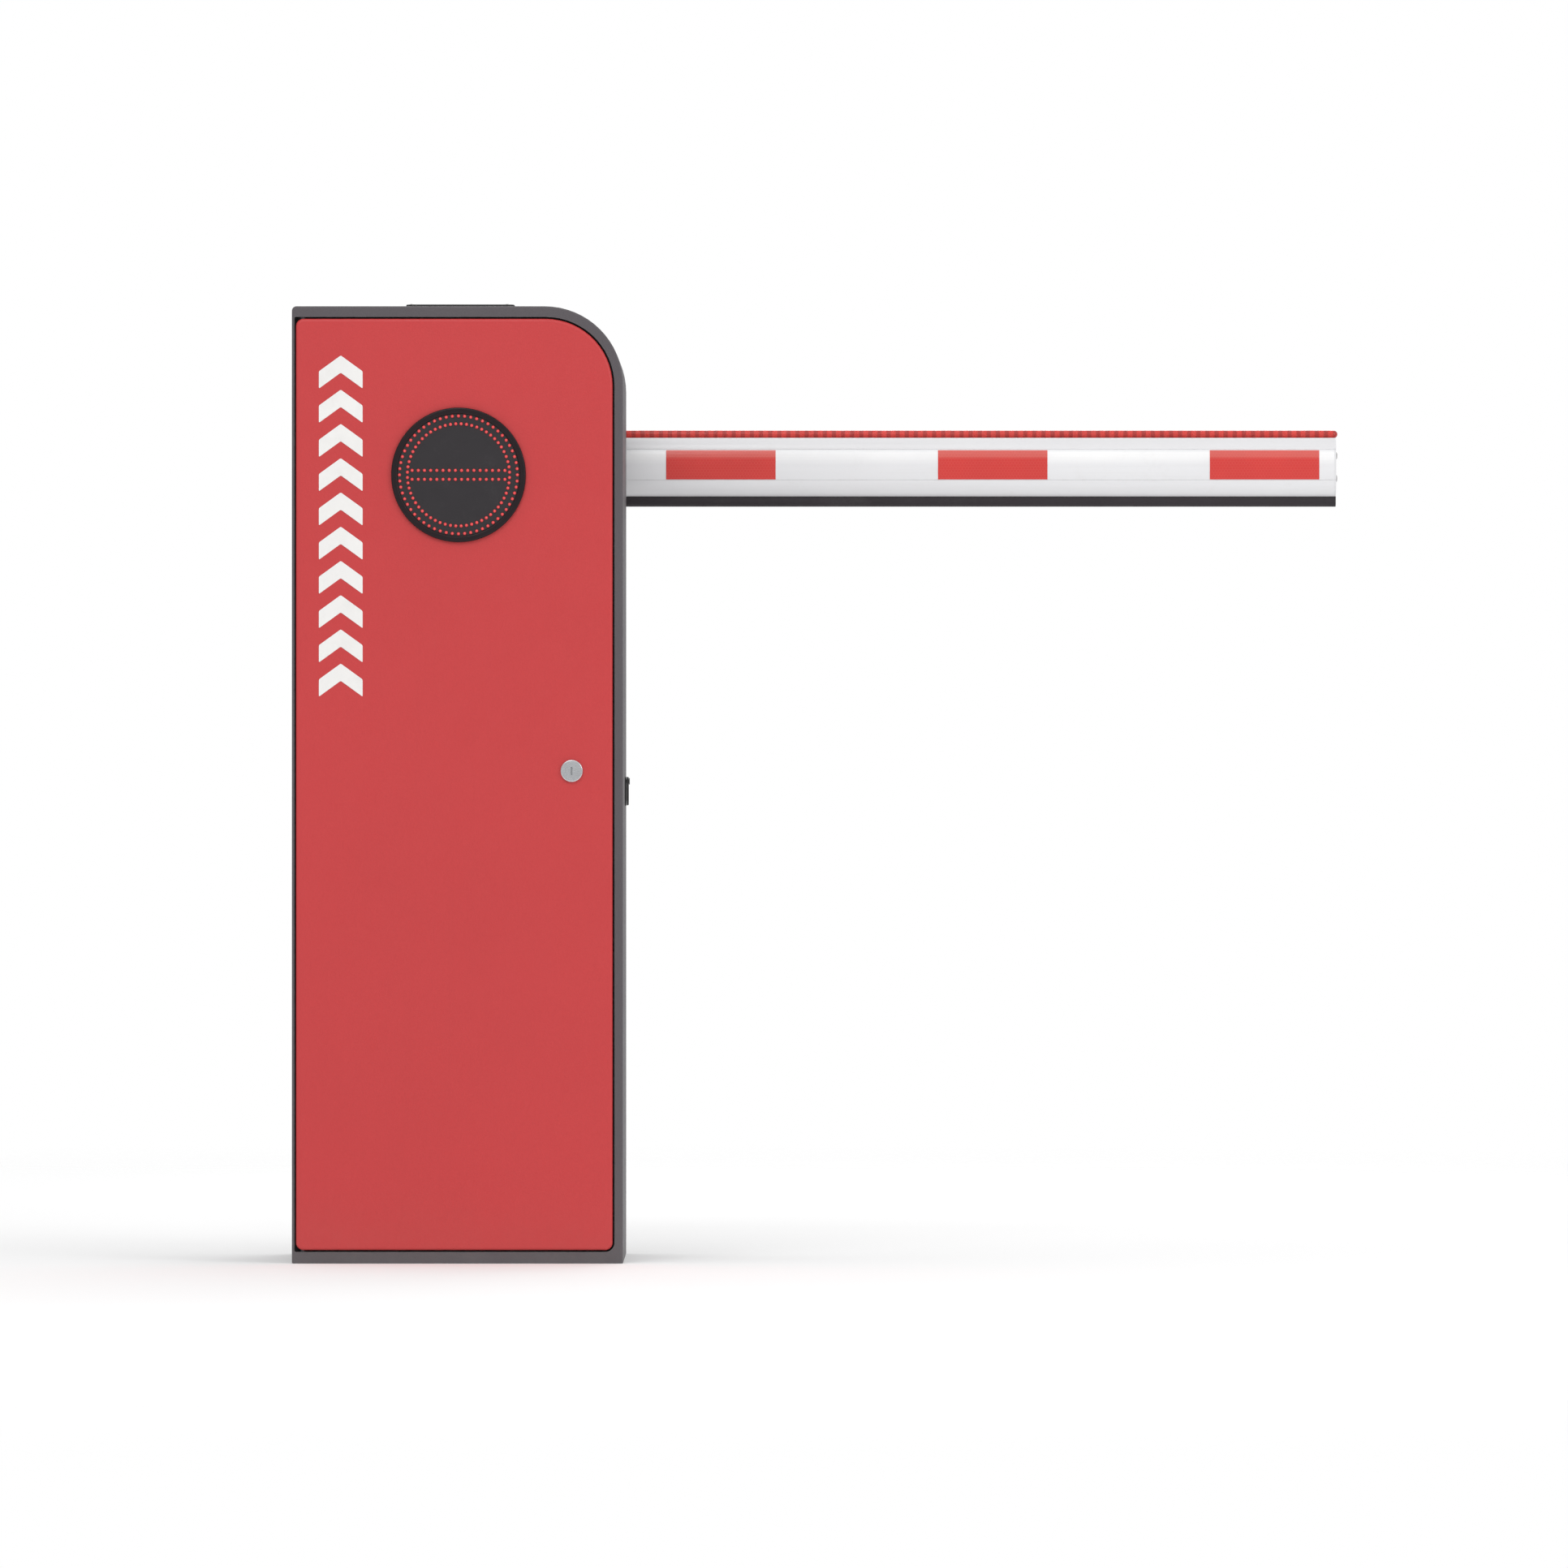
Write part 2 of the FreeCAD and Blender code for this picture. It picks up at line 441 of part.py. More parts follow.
def gearbox():
    A_IN, B_IN, WALL = 64.0, 56.0, 9.0
    HY0, HY1 = -72.0, PLATE_F0
    body = hull2(CRANK_X, CRANK_Z, A_IN + WALL, CRANK_X, MOTOR_Z, B_IN + WALL, HY0, HY1)
    cav = hull2(CRANK_X, CRANK_Z, A_IN, CRANK_X, MOTOR_Z, B_IN, HY0 - 1, HY1 - 6)
    body = body.cut(cav)
    body = body.cut(cy(CRANK_X, CRANK_Z, 15.05, HY1 - 8, HY1 + 1))
    body = body.cut(cy(CRANK_X, IDLER_Z, 8.05, HY1 - 7, HY1 - 3))
    body = body.cut(cy(CRANK_X, MOTOR_Z, 7.05, HY1 - 8, HY1 + 1))
    # cooling ribs down both flanks
    ribs = []
    for k in range(4):
        y = HY0 + 9 + 10 * k
        r = hull2(CRANK_X, CRANK_Z, A_IN + WALL + 3, CRANK_X, MOTOR_Z, B_IN + WALL + 3, y, y + 3)
        r = r.cut(hull2(CRANK_X, CRANK_Z, A_IN + WALL - 1, CRANK_X, MOTOR_Z, B_IN + WALL - 1, y - 1, y + 4))
        ribs.append(r)
    body = fuse(body, *ribs)
    save("gearbox_housing", body)

    CY0 = HY0 - 8.0
    cover = hull2(CRANK_X, CRANK_Z, A_IN + WALL, CRANK_X, MOTOR_Z, B_IN + WALL, CY0, HY0)
    bosses = [cy(CRANK_X, CRANK_Z, 26.0, CY0 - 5, CY0), cy(CRANK_X, IDLER_Z, 17.0, CY0 - 4, CY0), cy(CRANK_X, MOTOR_Z, 17.0, CY0 - 4, CY0)]
    cover = fuse(cover, *bosses)
    cover = cover.cut(cy(CRANK_X, CRANK_Z, 12.05, CY0 - 1, HY0 + 1))
    cover = cover.cut(cy(CRANK_X, IDLER_Z, 8.05, CY0 + 1, HY0 + 1))
    cover = cover.cut(cy(CRANK_X, MOTOR_Z, 7.05, CY0 - 6, HY0 + 1))
    save("gearbox_cover", cover)

    screws = []
    ra, rb = A_IN + WALL / 2, B_IN + WALL / 2
    spots = [(CRANK_X + ra * math.cos(math.radians(t)), CRANK_Z + ra * math.sin(math.radians(t))) for t in (10, 55, 90, 125, 170)]
    spots += [(CRANK_X + rb * math.cos(math.radians(t)), MOTOR_Z + rb * math.sin(math.radians(t))) for t in (-10, -55, -90, -125, -170)]
    for x, z in spots:
        h = cy(x, z, 4.2, CY0 - 4.5, CY0)
        h = h.cut(hex_y(x, z, 4.0, CY0 - 5, CY0 - 2))
        screws.append(h)
    save("gearbox_screws", screws)

    # brushless motor behind the gearbox, under the plates
    M0, M1 = PLATE_F0, 94.0
    m = fuse(cy(CRANK_X, MOTOR_Z, 44.0, M0, M1), cy(CRANK_X, MOTOR_Z, 50.0, M0, M0 + 9), cy(CRANK_X, MOTOR_Z, 47.0, M1 - 22, M1))
    fins = []
    for k in range(20):
        a = math.radians(18 * k + 9)
        f = box(-1.2, 1.2, M0 + 9, M1 - 22, 42.0, 48.5)
        f.rotate(V(0, 0, 0), V(0, 1, 0), math.degrees(a))
        f.translate(V(CRANK_X, 0, MOTOR_Z))
        fins.append(f)
    m = fuse(m, *fins)
    m = m.cut(cy(CRANK_X, MOTOR_Z, 31.0, M0 + 8, M1 - 6))
    m = m.cut(cy(CRANK_X, MOTOR_Z, 7.05, M0 - 1, M0 + 9))
    m = m.cut(cy(CRANK_X, MOTOR_Z, 7.05, M1 - 7, M1 - 3))
    # cable box on the motor's left side
    m = fuse(m, box(CRANK_X - 62, CRANK_X - 38, 30, 66, MOTOR_Z - 16, MOTOR_Z + 16).cut(cy(CRANK_X, MOTOR_Z, 40, 20, 80)))
    save("motor_body", m)

    # rotor with its shaft; the first pinion is cut on the shaft
    g1 = gear(15, 1.5, CRANK_X, MOTOR_Z, -66, -52, math.pi / 2)
    rot = fuse(cy(CRANK_X, MOTOR_Z, 7.0, -103, M1 - 3.5), cy(CRANK_X, MOTOR_Z, 30.5, M0 + 16, M1 - 14), g1)
    save("motor_rotor", rot)

    # idler shaft: wheel driven by the rotor, pinion that drives the output gear
    down, up = -math.pi / 2, math.pi / 2
    w = gear(75, 1.5, CRANK_X, IDLER_Z, -66, -52, down + math.pi / 75)
    for k in range(5):
        a = math.radians(72 * k + 18)
        w = w.cut(cy(CRANK_X + 36 * math.cos(a), IDLER_Z + 36 * math.sin(a), 12.0, -67, -51))
    p = gear(15, 2.0, CRANK_X, IDLER_Z, -52, -32, up)
    idl = fuse(w, p, cy(CRANK_X, IDLER_Z, 8.0, -78.5, -27.5))
    save("idler_gear", idl)

    # output gear on the crank shaft
    o = gear(60, 2.0, CRANK_X, CRANK_Z, -50, -33, down + math.pi / 60)
    for k in range(5):
        a = math.radians(72 * k + 54)
        o = o.cut(cy(CRANK_X + 38 * math.cos(a), CRANK_Z + 38 * math.sin(a), 11.0, -51, -32))
    o = fuse(o, cy(CRANK_X, CRANK_Z, 24.0, -51.0, -31), cy(CRANK_X, CRANK_Z, 15.0, -56, 107), cy(CRANK_X, CRANK_Z, 12.0, -78, -56))
    save("output_gear_shaft", o)

    # crank arm with its pin
    a = math.radians(ARM_REST_DEG)
    px, pz = CRANK_X + ARM_R * math.cos(a), CRANK_Z + ARM_R * math.sin(a)
    arm = link(CRANK_X, CRANK_Z, 25.0, px, pz, 13.0, 76.5, 89.0)
    arm = fuse(arm, cy(CRANK_X, CRANK_Z, 22.0, 60, 95), cy(px, pz, 7.0, 58.0, 76.5))
    arm = arm.cut(cy(CRANK_X, CRANK_Z, 15.0, 50, 99))
    save("crank_arm", arm)

    # the rod, always parallel to the line between the shafts
    qx, qz = SHAFT_X + ARM_R * math.cos(a), SHAFT_Z + ARM_R * math.sin(a)
    rod = link(qx, qz, 8.0, px, pz, 8.0, 64.5, 71.5)
    rod = fuse(rod, cy(px, pz, 13.0, 61.5, 74.5), cy(qx, qz, 13.0, 61.5, 74.5))
    rod = rod.cut(cy(px, pz, 7.05, 50, 80)).cut(cy(qx, qz, 7.05, 50, 80))
    save("connecting_rod", rod)

    # hand wheel for turning the drive by hand when the power is off
    hw = cy(CRANK_X, MOTOR_Z, 30.0, -103, -92)
    for k in range(10):
        t = math.radians(36 * k)
        hw = hw.cut(cy(CRANK_X + 33 * math.cos(t), MOTOR_Z + 33 * math.sin(t), 6.0, -110, -85))
    hw = hw.cut(cy(CRANK_X, MOTOR_Z, 21.0, -104, -99).cut(cy(CRANK_X, MOTOR_Z, 11.0, -105, -98)))
    hw = fuse(hw, cy(CRANK_X, MOTOR_Z, 13.0, -92, -87.0))
    hw = hw.cut(cy(CRANK_X, MOTOR_Z, 7.0, -110, -80))
    save("hand_wheel", hw)


STOPS = []
LUG_DEG = 150.0                       # direction of the rocker's stop lug at rest


def set_stops():
    # A lug on the rocker points to 150 degrees at rest and to 240 degrees when the boom is up.
    # The closed buffer meets its leading flank from the clockwise side, the open buffer from the other side.
    half = 8.0
    for lug_deg, side in ((LUG_DEG, -1), (LUG_DEG + 90.0, 1)):
        a = math.radians(lug_deg)
        n = lug_deg + 90 * side
        b = math.radians(n)
        x = SHAFT_X + 46.0 * math.cos(a) + half * math.cos(b)
        z = SHAFT_Z + 46.0 * math.sin(a) + half * math.sin(b)
        STOPS.append((x, z, n))


# ---------------------------------------------------------------- boom shaft and boom
def shaft_parts():
    s = cy(SHAFT_X, SHAFT_Z, SHAFT_R, -58, 156.0)
    s = fuse(s, cy(SHAFT_X, SHAFT_Z, 22.0, 137.5, 143.5))
    s = s.cut(cy(SHAFT_X, SHAFT_Z, 5.0, -59, -44))
    save("main_shaft", s)

    rings = []
    for y0, y1 in ((PLATE_F0 - 30, PLATE_F0 - 2), (PLATE_R1 + 1, PLATE_R1 + 29)):
        r = cy(SHAFT_X, SHAFT_Z, 27.45, y0 + 3, y1 - 1).fuse(cy(SHAFT_X, SHAFT_Z, 24.0, y0, y1 - 1)).removeSplitter()
        r = r.cut(cy(SHAFT_X, SHAFT_Z, SHAFT_R, y0 - 2, y1 + 2))
        rings.append(r)
    save("bearing_inner_rings", rings)

    # rocker driven by the rod, with the stop lug
    a = math.radians(ARM_REST_DEG)
    qx, qz = SHAFT_X + ARM_R * math.cos(a), SHAFT_Z + ARM_R * math.sin(a)
    arm = link(SHAFT_X, SHAFT_Z, 28.0, qx, qz, 13.0, 76.5, 89.0)
    t = math.radians(LUG_DEG)
    lug = link(SHAFT_X, SHAFT_Z, 8.0001, SHAFT_X + 52 * math.cos(t), SHAFT_Z + 52 * math.sin(t), 8.0, 76.5, 89.0)
    arm = fuse(arm, lug, cy(SHAFT_X, SHAFT_Z, 27.0, 72, 97), cy(qx, qz, 7.0, 58.0, 76.5))
    arm = arm.cut(cy(SHAFT_X, SHAFT_Z, SHAFT_R, 60, 99))
    save("rocker_arm", arm)

    tx, tz = SPRING_TOP
    arm = link(SHAFT_X, SHAFT_Z, 27.0, tx, tz, 14.0, 31.0, 41.0)
    arm = fuse(arm, cy(SHAFT_X, SHAFT_Z, 26.0, 24, 48), cy(tx, tz, 7.0, 6.0, 66.0))
    arm = arm.cut(cy(SHAFT_X, SHAFT_Z, SHAFT_R, 20, 50))
    save("spring_arm", arm)

    # hub plate on the shaft's end, outside the rear wall
    hub = fuse(cy(SHAFT_X, SHAFT_Z, 30.0, 152.0, 158.0), slab(-60, 60, SHAFT_Z - 42, SHAFT_Z + 42, (12, 12, 12, 12), 158.0, 165.0))
    hub = hub.cut(cy(SHAFT_X, SHAFT_Z, SHAFT_R, 150, 156.0))
    save("boom_hub", hub)

    # hat-section holder: web, two flanges, two ears
    W0, W1 = 165.0, 168.5
    HX0, HX1 = -116.0, 150.0
    zb, zt = BOOM_Z0 - 0.3, BOOM_Z0 + BOOM_H + 0.3
    web = box(HX0, HX1, W0, W1, zb - 3.5, zt + 3.5)
    fb = box(HX0, HX1, W1, 214.5, zb - 3.5, zb)
    ft = box(HX0, HX1, W1, 214.5, zt, zt + 3.5)
    eb = box(HX0, HX1, 211.0, 214.5, zb - 24.0, zb - 3.5)
    et = box(HX0, HX1, 211.0, 214.5, zt + 3.5, zt + 24.0)
    holder = fuse(web, fb, ft, eb, et)
    save("boom_holder", holder)

    cl = slab(HX0, HX1, zb - 24.0, zt + 24.0, (10, 10, 10, 10), 214.6, 218.6)
    cl = cl.cut(slab(-46, 80, BOOM_Z0 + 14, BOOM_Z0 + BOOM_H - 14, (10, 10, 10, 10), 214, 220))
    save("boom_clamp_plate", cl)

    bolts = []
    for x in (-96, 17, 130):
        for z in (zb - 14.0, zt + 14.0):
            hd = fuse(cy(x, z, 8.5, 218.6, 220.2), hex_y(x, z, 13.0, 220.2, 225.5, 0))
            nt = fuse(cy(x, z, 8.5, 209.4, 211.0), hex_y(x, z, 13.0, 202.9, 209.4, 0))
            bolts += [hd, nt]
    save("boom_clamp_bolts", bolts)


def boom_outline(x):
    """Closed wire of the boom's outer section at x; u is measured from the centre plane, w from the underside."""
    e = []
    def P(s, u, w):
        return V(x, BOOM_Y + s * u, BOOM_Z0 + w)
    gr = 4.3
    gd = TUBE_Z - BOOM_Z0 - BOOM_H      # the tube's centre stands this far above the top face
    gw = math.sqrt(gr * gr - gd * gd)
    for s in (-1, 1):
        e.append(Part.makeLine(P(s, gw, BOOM_H), P(s, 8.5, BOOM_H)))
        e.append(arc(P(s, 8.5, BOOM_H), P(s, 15.9, 60.2), P(s, 19.8, 51.8)))
        e.append(Part.makeLine(P(s, 19.8, 51.8), P(s, 19.3, 51.3)))
        e.append(Part.makeLine(P(s, 19.3, 51.3), P(s, 20.1, 50.8)))
        for (u0, w0), (u1, w1) in zip(BAND, BAND[1:]):
            e.append(Part.makeLine(P(s, u0, w0), P(s, u1, w1)))
        e.append(Part.makeLine(P(s, 22.2, 18.2), P(s, 21.5, 17.8)))
        e.append(Part.makeLine(P(s, 21.5, 17.8), P(s, 22.0, 17.3)))
        e.append(arc(P(s, 22.0, 17.3), P(s, 18.9, 6.6), P(s, 10.5, 0.0)))
        e.append(Part.makeLine(P(s, 10.5, 0.0), P(s, 3.0, 0.0)))
        e.append(Part.makeLine(P(s, 3.0, 0.0), P(s, 3.0, 2.0)))
    e.append(arc(P(-1, gw, BOOM_H), P(0, 0, BOOM_H + gd - gr), P(1, gw, BOOM_H)))
    e.append(Part.makeLine(P(-1, 3.0, 2.0), P(1, 3.0, 2.0)))
    e = Part.__sortEdges__(e)
    return Part.Wire(e)


def boom():
    body = Part.Face(boom_outline(BOOM_X0)).extrude(V(BOOM_X1 - BOOM_X0, 0, 0))
    in_pts = [(0, 62.0), (8.0, 62.0), (14.0, 58.8), (17.6, 52.0), (20.4, 38.0), (20.1, 18.0), (17.4, 8.0), (10.0, 2.6), (7.0, 2.0)]
    def cavity(pts):
        ring = [(BOOM_Y + u, BOOM_Z0 + w) for u, w in pts] + [(BOOM_Y - u, BOOM_Z0 + w) for u, w in reversed(pts) if u > 0]
        return poly_x(ring, BOOM_X0 - 1, BOOM_X1 + 1)
    cav = cavity(in_pts)
    # a web keeps the section stiff; screw ports sit where the end cap's screws go
    web = box(BOOM_X0 - 2, BOOM_X1 + 2, BOOM_Y - 30, BOOM_Y + 30, BOOM_Z0 + 32.0, BOOM_Z0 + 33.8)
    body = body.cut(cav.cut(web))
    body = body.cut(box(BOOM_X0 - 1, BOOM_X1 + 1, BOOM_Y - 3, BOOM_Y + 3, BOOM_Z0 - 1, BOOM_Z0 + 2.5))
    save("boom_profile", body)

    caps = []
    for x0, x1, p0, p1 in ((BOOM_X1, BOOM_X1 + 2.0, BOOM_X1 - 12, BOOM_X1), (BOOM_X0 - 2.0, BOOM_X0, BOOM_X0, BOOM_X0 + 12)):
        w = boom_outline(x0)
        face = Part.Face(w).extrude(V(x1 - x0, 0, 0))
        cut_slot = box(x0 - 1, x1 + 1, BOOM_Y - 3.01, BOOM_Y + 3.01, BOOM_Z0 - 1, BOOM_Z0 + 2.0)
        face = face.fuse(box(x0, x1, BOOM_Y - 3.2, BOOM_Y + 3.2, BOOM_Z0, BOOM_Z0 + 2.2)).removeSplitter()
        plug = box(p0, p1, BOOM_Y - 14, BOOM_Y + 14, BOOM_Z0 + 36, BOOM_Z0 + 54).cut(box(p0 - 1, p1 + 1, BOOM_Y - 12, BOOM_Y + 12, BOOM_Z0 + 38, BOOM_Z0 + 52))
        plug2 = box(p0, p1, BOOM_Y - 14, BOOM_Y + 14, BOOM_Z0 + 10, BOOM_Z0 + 30).cut(box(p0 - 1, p1 + 1, BOOM_Y - 12, BOOM_Y + 12, BOOM_Z0 + 12, BOOM_Z0 + 28))
        caps.append(fuse(face, plug, plug2))
    save("boom_end_caps", caps)

    # light tube seated in the groove along the top
    r = TUBE_R - 0.02
    tube = cx(BOOM_Y, TUBE_Z, r, TUBE_X0, TUBE_X1 - r).fuse(Part.makeSphere(r, V(TUBE_X1 - r, BOOM_Y, TUBE_Z))).removeSplitter()
    tube = tube.cut(cx(BOOM_Y, TUBE_Z, 3.2, TUBE_X0 - 1, TUBE_X1 - r - 1))
    save("boom_light_tube", tube)

    # rubber bumper with a hollow nose and a foot in the profile's slot
    z0, z1 = BOOM_Z0 - BUMPER_H, BOOM_Z0
    o = [Part.makeLine(V(TUBE_X0, BOOM_Y - 10.5, z1), V(TUBE_X0, BOOM_Y - 10.5, z0 + 6)),
         arc(V(TUBE_X0, BOOM_Y - 10.5, z0 + 6), V(TUBE_X0, BOOM_Y - 8.4, z0 + 1.4), V(TUBE_X0, BOOM_Y - 4, z0)),
         Part.makeLine(V(TUBE_X0, BOOM_Y - 4, z0), V(TUBE_X0, BOOM_Y + 4, z0)),
         arc(V(TUBE_X0, BOOM_Y + 4, z0), V(TUBE_X0, BOOM_Y + 8.4, z0 + 1.4), V(TUBE_X0, BOOM_Y + 10.5, z0 + 6)),
         Part.makeLine(V(TUBE_X0, BOOM_Y + 10.5, z0 + 6), V(TUBE_X0, BOOM_Y + 10.5, z1)),
         Part.makeLine(V(TUBE_X0, BOOM_Y + 10.5, z1), V(TUBE_X0, BOOM_Y - 10.5, z1))]
    L = BOOM_X1 + 2.0 - TUBE_X0
    rub = Part.Face(Part.Wire(o)).extrude(V(L, 0, 0))
    rub = rub.cut(box(TUBE_X0 - 1, BOOM_X1 + 5, BOOM_Y - 7, BOOM_Y + 7, z0 + 3.0, z1 - 2.5))
    foot = box(TUBE_X0, BOOM_X1 - 0.05, BOOM_Y - 2.8, BOOM_Y + 2.8, z1 - 1, z1 + 4.0).fuse(
        box(TUBE_X0, BOOM_X1 - 0.05 - 12.1, BOOM_Y - 6.0, BOOM_Y + 6.0, z1 + 2.8, z1 + 5.2))
    save("boom_bumper", fuse(rub, foot))

    # reflective strips, front and back, on the band between the two grooves
    strips = []
    off = 0.35
    for s in (-1, 1):
        def P(x, u, w):
            return V(x, BOOM_Y + s * u, BOOM_Z0 + w)
        for x in STRIP_X:
            lo, hi = 18.35, 50.45
            inner = [(u, w) for u, w in BAND if lo < w < hi]
            t = (hi - BAND[1][1]) / (BAND[0][1] - BAND[1][1])
            inner = [(BAND[1][0] + t * (BAND[0][0] - BAND[1][0]), hi)] + inner
            t = (lo - BAND[-1][1]) / (BAND[-2][1] - BAND[-1][1])
            inner = inner + [(BAND[-1][0] + t * (BAND[-2][0] - BAND[-1][0]), lo)]
            ring = inner + [(u + off, w) for u, w in reversed(inner)]
            w = Part.makePolygon([P(x, u, h) for u, h in ring] + [P(x, *ring[0])])
            strips.append(Part.Face(w).extrude(V(STRIP_L, 0, 0)))
    save("boom_reflectors", strips)


# ---------------------------------------------------------------- door
def door():
    outer = slab(DOOR_X0, DOOR_X1, DOOR_Z0, DOOR_Z1, (DOOR_SMALL_R, DOOR_SMALL_R, DOOR_R, DOOR_SMALL_R), DOOR_FACE_Y, DOOR_BACK_Y)
    edges = edges_at(outer, lambda e: abs(e.BoundBox.YMin - DOOR_FACE_Y) < 1e-4 and abs(e.BoundBox.YMax - DOOR_FACE_Y) < 1e-4)
    outer = outer.makeFillet(3.0, edges)
    t = DOOR_SHEET
    inner = slab(DOOR_X0 + t, DOOR_X1 - t, DOOR_Z0 + t, DOOR_Z1 - t, (6.5, 6.5, DOOR_R - t, 6.5), DOOR_FACE_Y + t, DOOR_BACK_Y - t)
    edges = edges_at(inner, lambda e: abs(e.BoundBox.YMin - DOOR_FACE_Y - t) < 1e-4 and abs(e.BoundBox.YMax - DOOR_FACE_Y - t) < 1e-4)
    inner = inner.makeFillet(1.5, edges)
    mouth = slab(DOOR_X0 + 25, DOOR_X1 - 12, DOOR_Z0 + 12, DOOR_Z1 - 12, (4, 4, DOOR_R - 12, 4), DOOR_BACK_Y - t - 1, DOOR_BACK_Y + 1)
    pan = outer.cut(inner).cut(mouth)
    # hinge blocks welded inside the top and bottom left corners
    b1 = box(DOOR_X0 + t, -155, DOOR_FACE_Y + t, DOOR_BACK_Y - t, DOOR_Z1 - t - 10, DOOR_Z1 - t)
    b2 = box(DOOR_X0 + t, -155, DOOR_FACE_Y + t, DOOR_BACK_Y - t, DOOR_Z0 + t, DOOR_Z0 + t + 10)
    b1 = b1.common(outer)
    b2 = b2.common(outer)
    # two hat stiffeners across the back of the sheet
    hats = []
    for z in (330.0, 700.0):
        h = box(DOOR_X0 + 30, DOOR_X1 - 30, DOOR_FACE_Y + t, DOOR_FACE_Y + 13, z - 20, z + 20)
        h = h.cut(box(DOOR_X0 + 29, DOOR_X1 - 29, DOOR_FACE_Y, DOOR_FACE_Y + 11.5, z - 18.5, z + 18.5))
        hats.append(h)
    pan = pan.multiFuse([b1, b2] + hats).removeSplitter()
    pan = pan.cut(cz(HINGE_X, HINGE_Y, HINGE_PIN_R + 0.05, DOOR_Z1 - 11.6, DOOR_Z1 + 5))
    pan = pan.cut(cz(HINGE_X, HINGE_Y, HINGE_PIN_R + 0.05, DOOR_Z0 - 5, DOOR_Z0 + 11.6))
    pan = pan.cut(cy(IND_X, IND_Z, 68.2, DOOR_FACE_Y - 1, DOOR_FACE_Y + 5))
    pan = pan.cut(cy(LOCK_X, LOCK_Z, 9.6, DOOR_FACE_Y - 1, DOOR_FACE_Y + 5))
    save("door_panel", pan)


def ring_y(x, z, ro, ri, y0, y1):
    return cy(x, z, ro, y0, y1).cut(cy(x, z, ri, y0 - 1, y1 + 1))


def led_spots():
    pts = []
    for r, n, ph in ((LED_RING_1, 60, 0.0), (LED_RING_2, 60, 3.0)):
        for k in range(n):
            a = math.radians(6.0 * k + ph)
            pts.append((IND_X + r * math.cos(a), IND_Z + r * math.sin(a)))
    for s in (-1, 1):
        for k in range(LED_ROW_N):
            pts.append((IND_X + (k - (LED_ROW_N - 1) / 2.0) * LED_ROW_PITCH, IND_Z + s * LED_ROW_Z))
    return pts


def indicator():
    rim = ring_y(IND_X, IND_Z, IND_R, 65.5, -152.5, -148.0)
    ed = edges_at(rim, lambda e: abs(e.BoundBox.YMin + 152.5) < 1e-4 and abs(e.BoundBox.YMax + 152.5) < 1e-4)
    rim = rim.makeFillet(1.6, ed)
    sleeve = ring_y(IND_X, IND_Z, 68.0, 65.5, -148.0, -124.0)
    save("indicator_bezel", fuse(rim, sleeve))

    spots = led_spots()
    face = cy(IND_X, IND_Z, IND_FACE_R, -150.6, -148.0)
    holes = Part.makeCompound([cy(x, z, LED_R + 0.12, -152, -147) for x, z in spots])
    face = face.cut(holes)
    save("indicator_face", face)

    board = cy(IND_X, IND_Z, 65.2, -142.6, -141.0)
    leds = []
    for x, z in spots:
        leds.append(cy(x, z, LED_R, -150.7, -142.6).fuse(Part.makeSphere(LED_R, V(x, -150.7, z))).removeSplitter())
    board = board.multiFuse(leds)
    save("indicator_led_board", board)

    can = cy(IND_X, IND_Z, 68.0, -124.0, -120.5)
    lip = ring_y(IND_X, IND_Z, 65.3, 62.5, -140.9, -124.0)
    can = fuse(can, lip)
    can = can.cut(cy(IND_X, IND_Z - 40, 7.0, -130, -118))
    save("indicator_rear_cover", can)


def door_lock():
    rim = cy(LOCK_X, LOCK_Z, LOCK_R, -151.2, -148.0)
    ed = edges_at(rim, lambda e: abs(e.BoundBox.YMin + 151.2) < 1e-4 and abs(e.BoundBox.YMax + 151.2) < 1e-4)
    rim = rim.makeFillet(1.2, ed)
    h = fuse(rim, cy(LOCK_X, LOCK_Z, 9.4, -148.0, -124.0), hex_y(LOCK_X, LOCK_Z, 26.0, -146.5, -141.5))
    h = h.cut(cy(LOCK_X, LOCK_Z, 7.05, -155, -120))
    save("door_lock_housing", h)
    plug = cy(LOCK_X, LOCK_Z, 7.0, -151.0, -121.0)
    plug = plug.cut(box(LOCK_X - 0.9, LOCK_X + 0.9, -152, -140, LOCK_Z - 4.2, LOCK_Z + 4.2))
    save("door_lock_plug", plug)
    cam = link(LOCK_X, LOCK_Z, 10.5, LOCK_X, LOCK_Z - 38.0, 7.0, -121.0, -118.0)
    cam = fuse(cam, hex_y(LOCK_X, LOCK_Z, 10.0, -118.0, -114.0))
    save("door_lock_cam", cam)


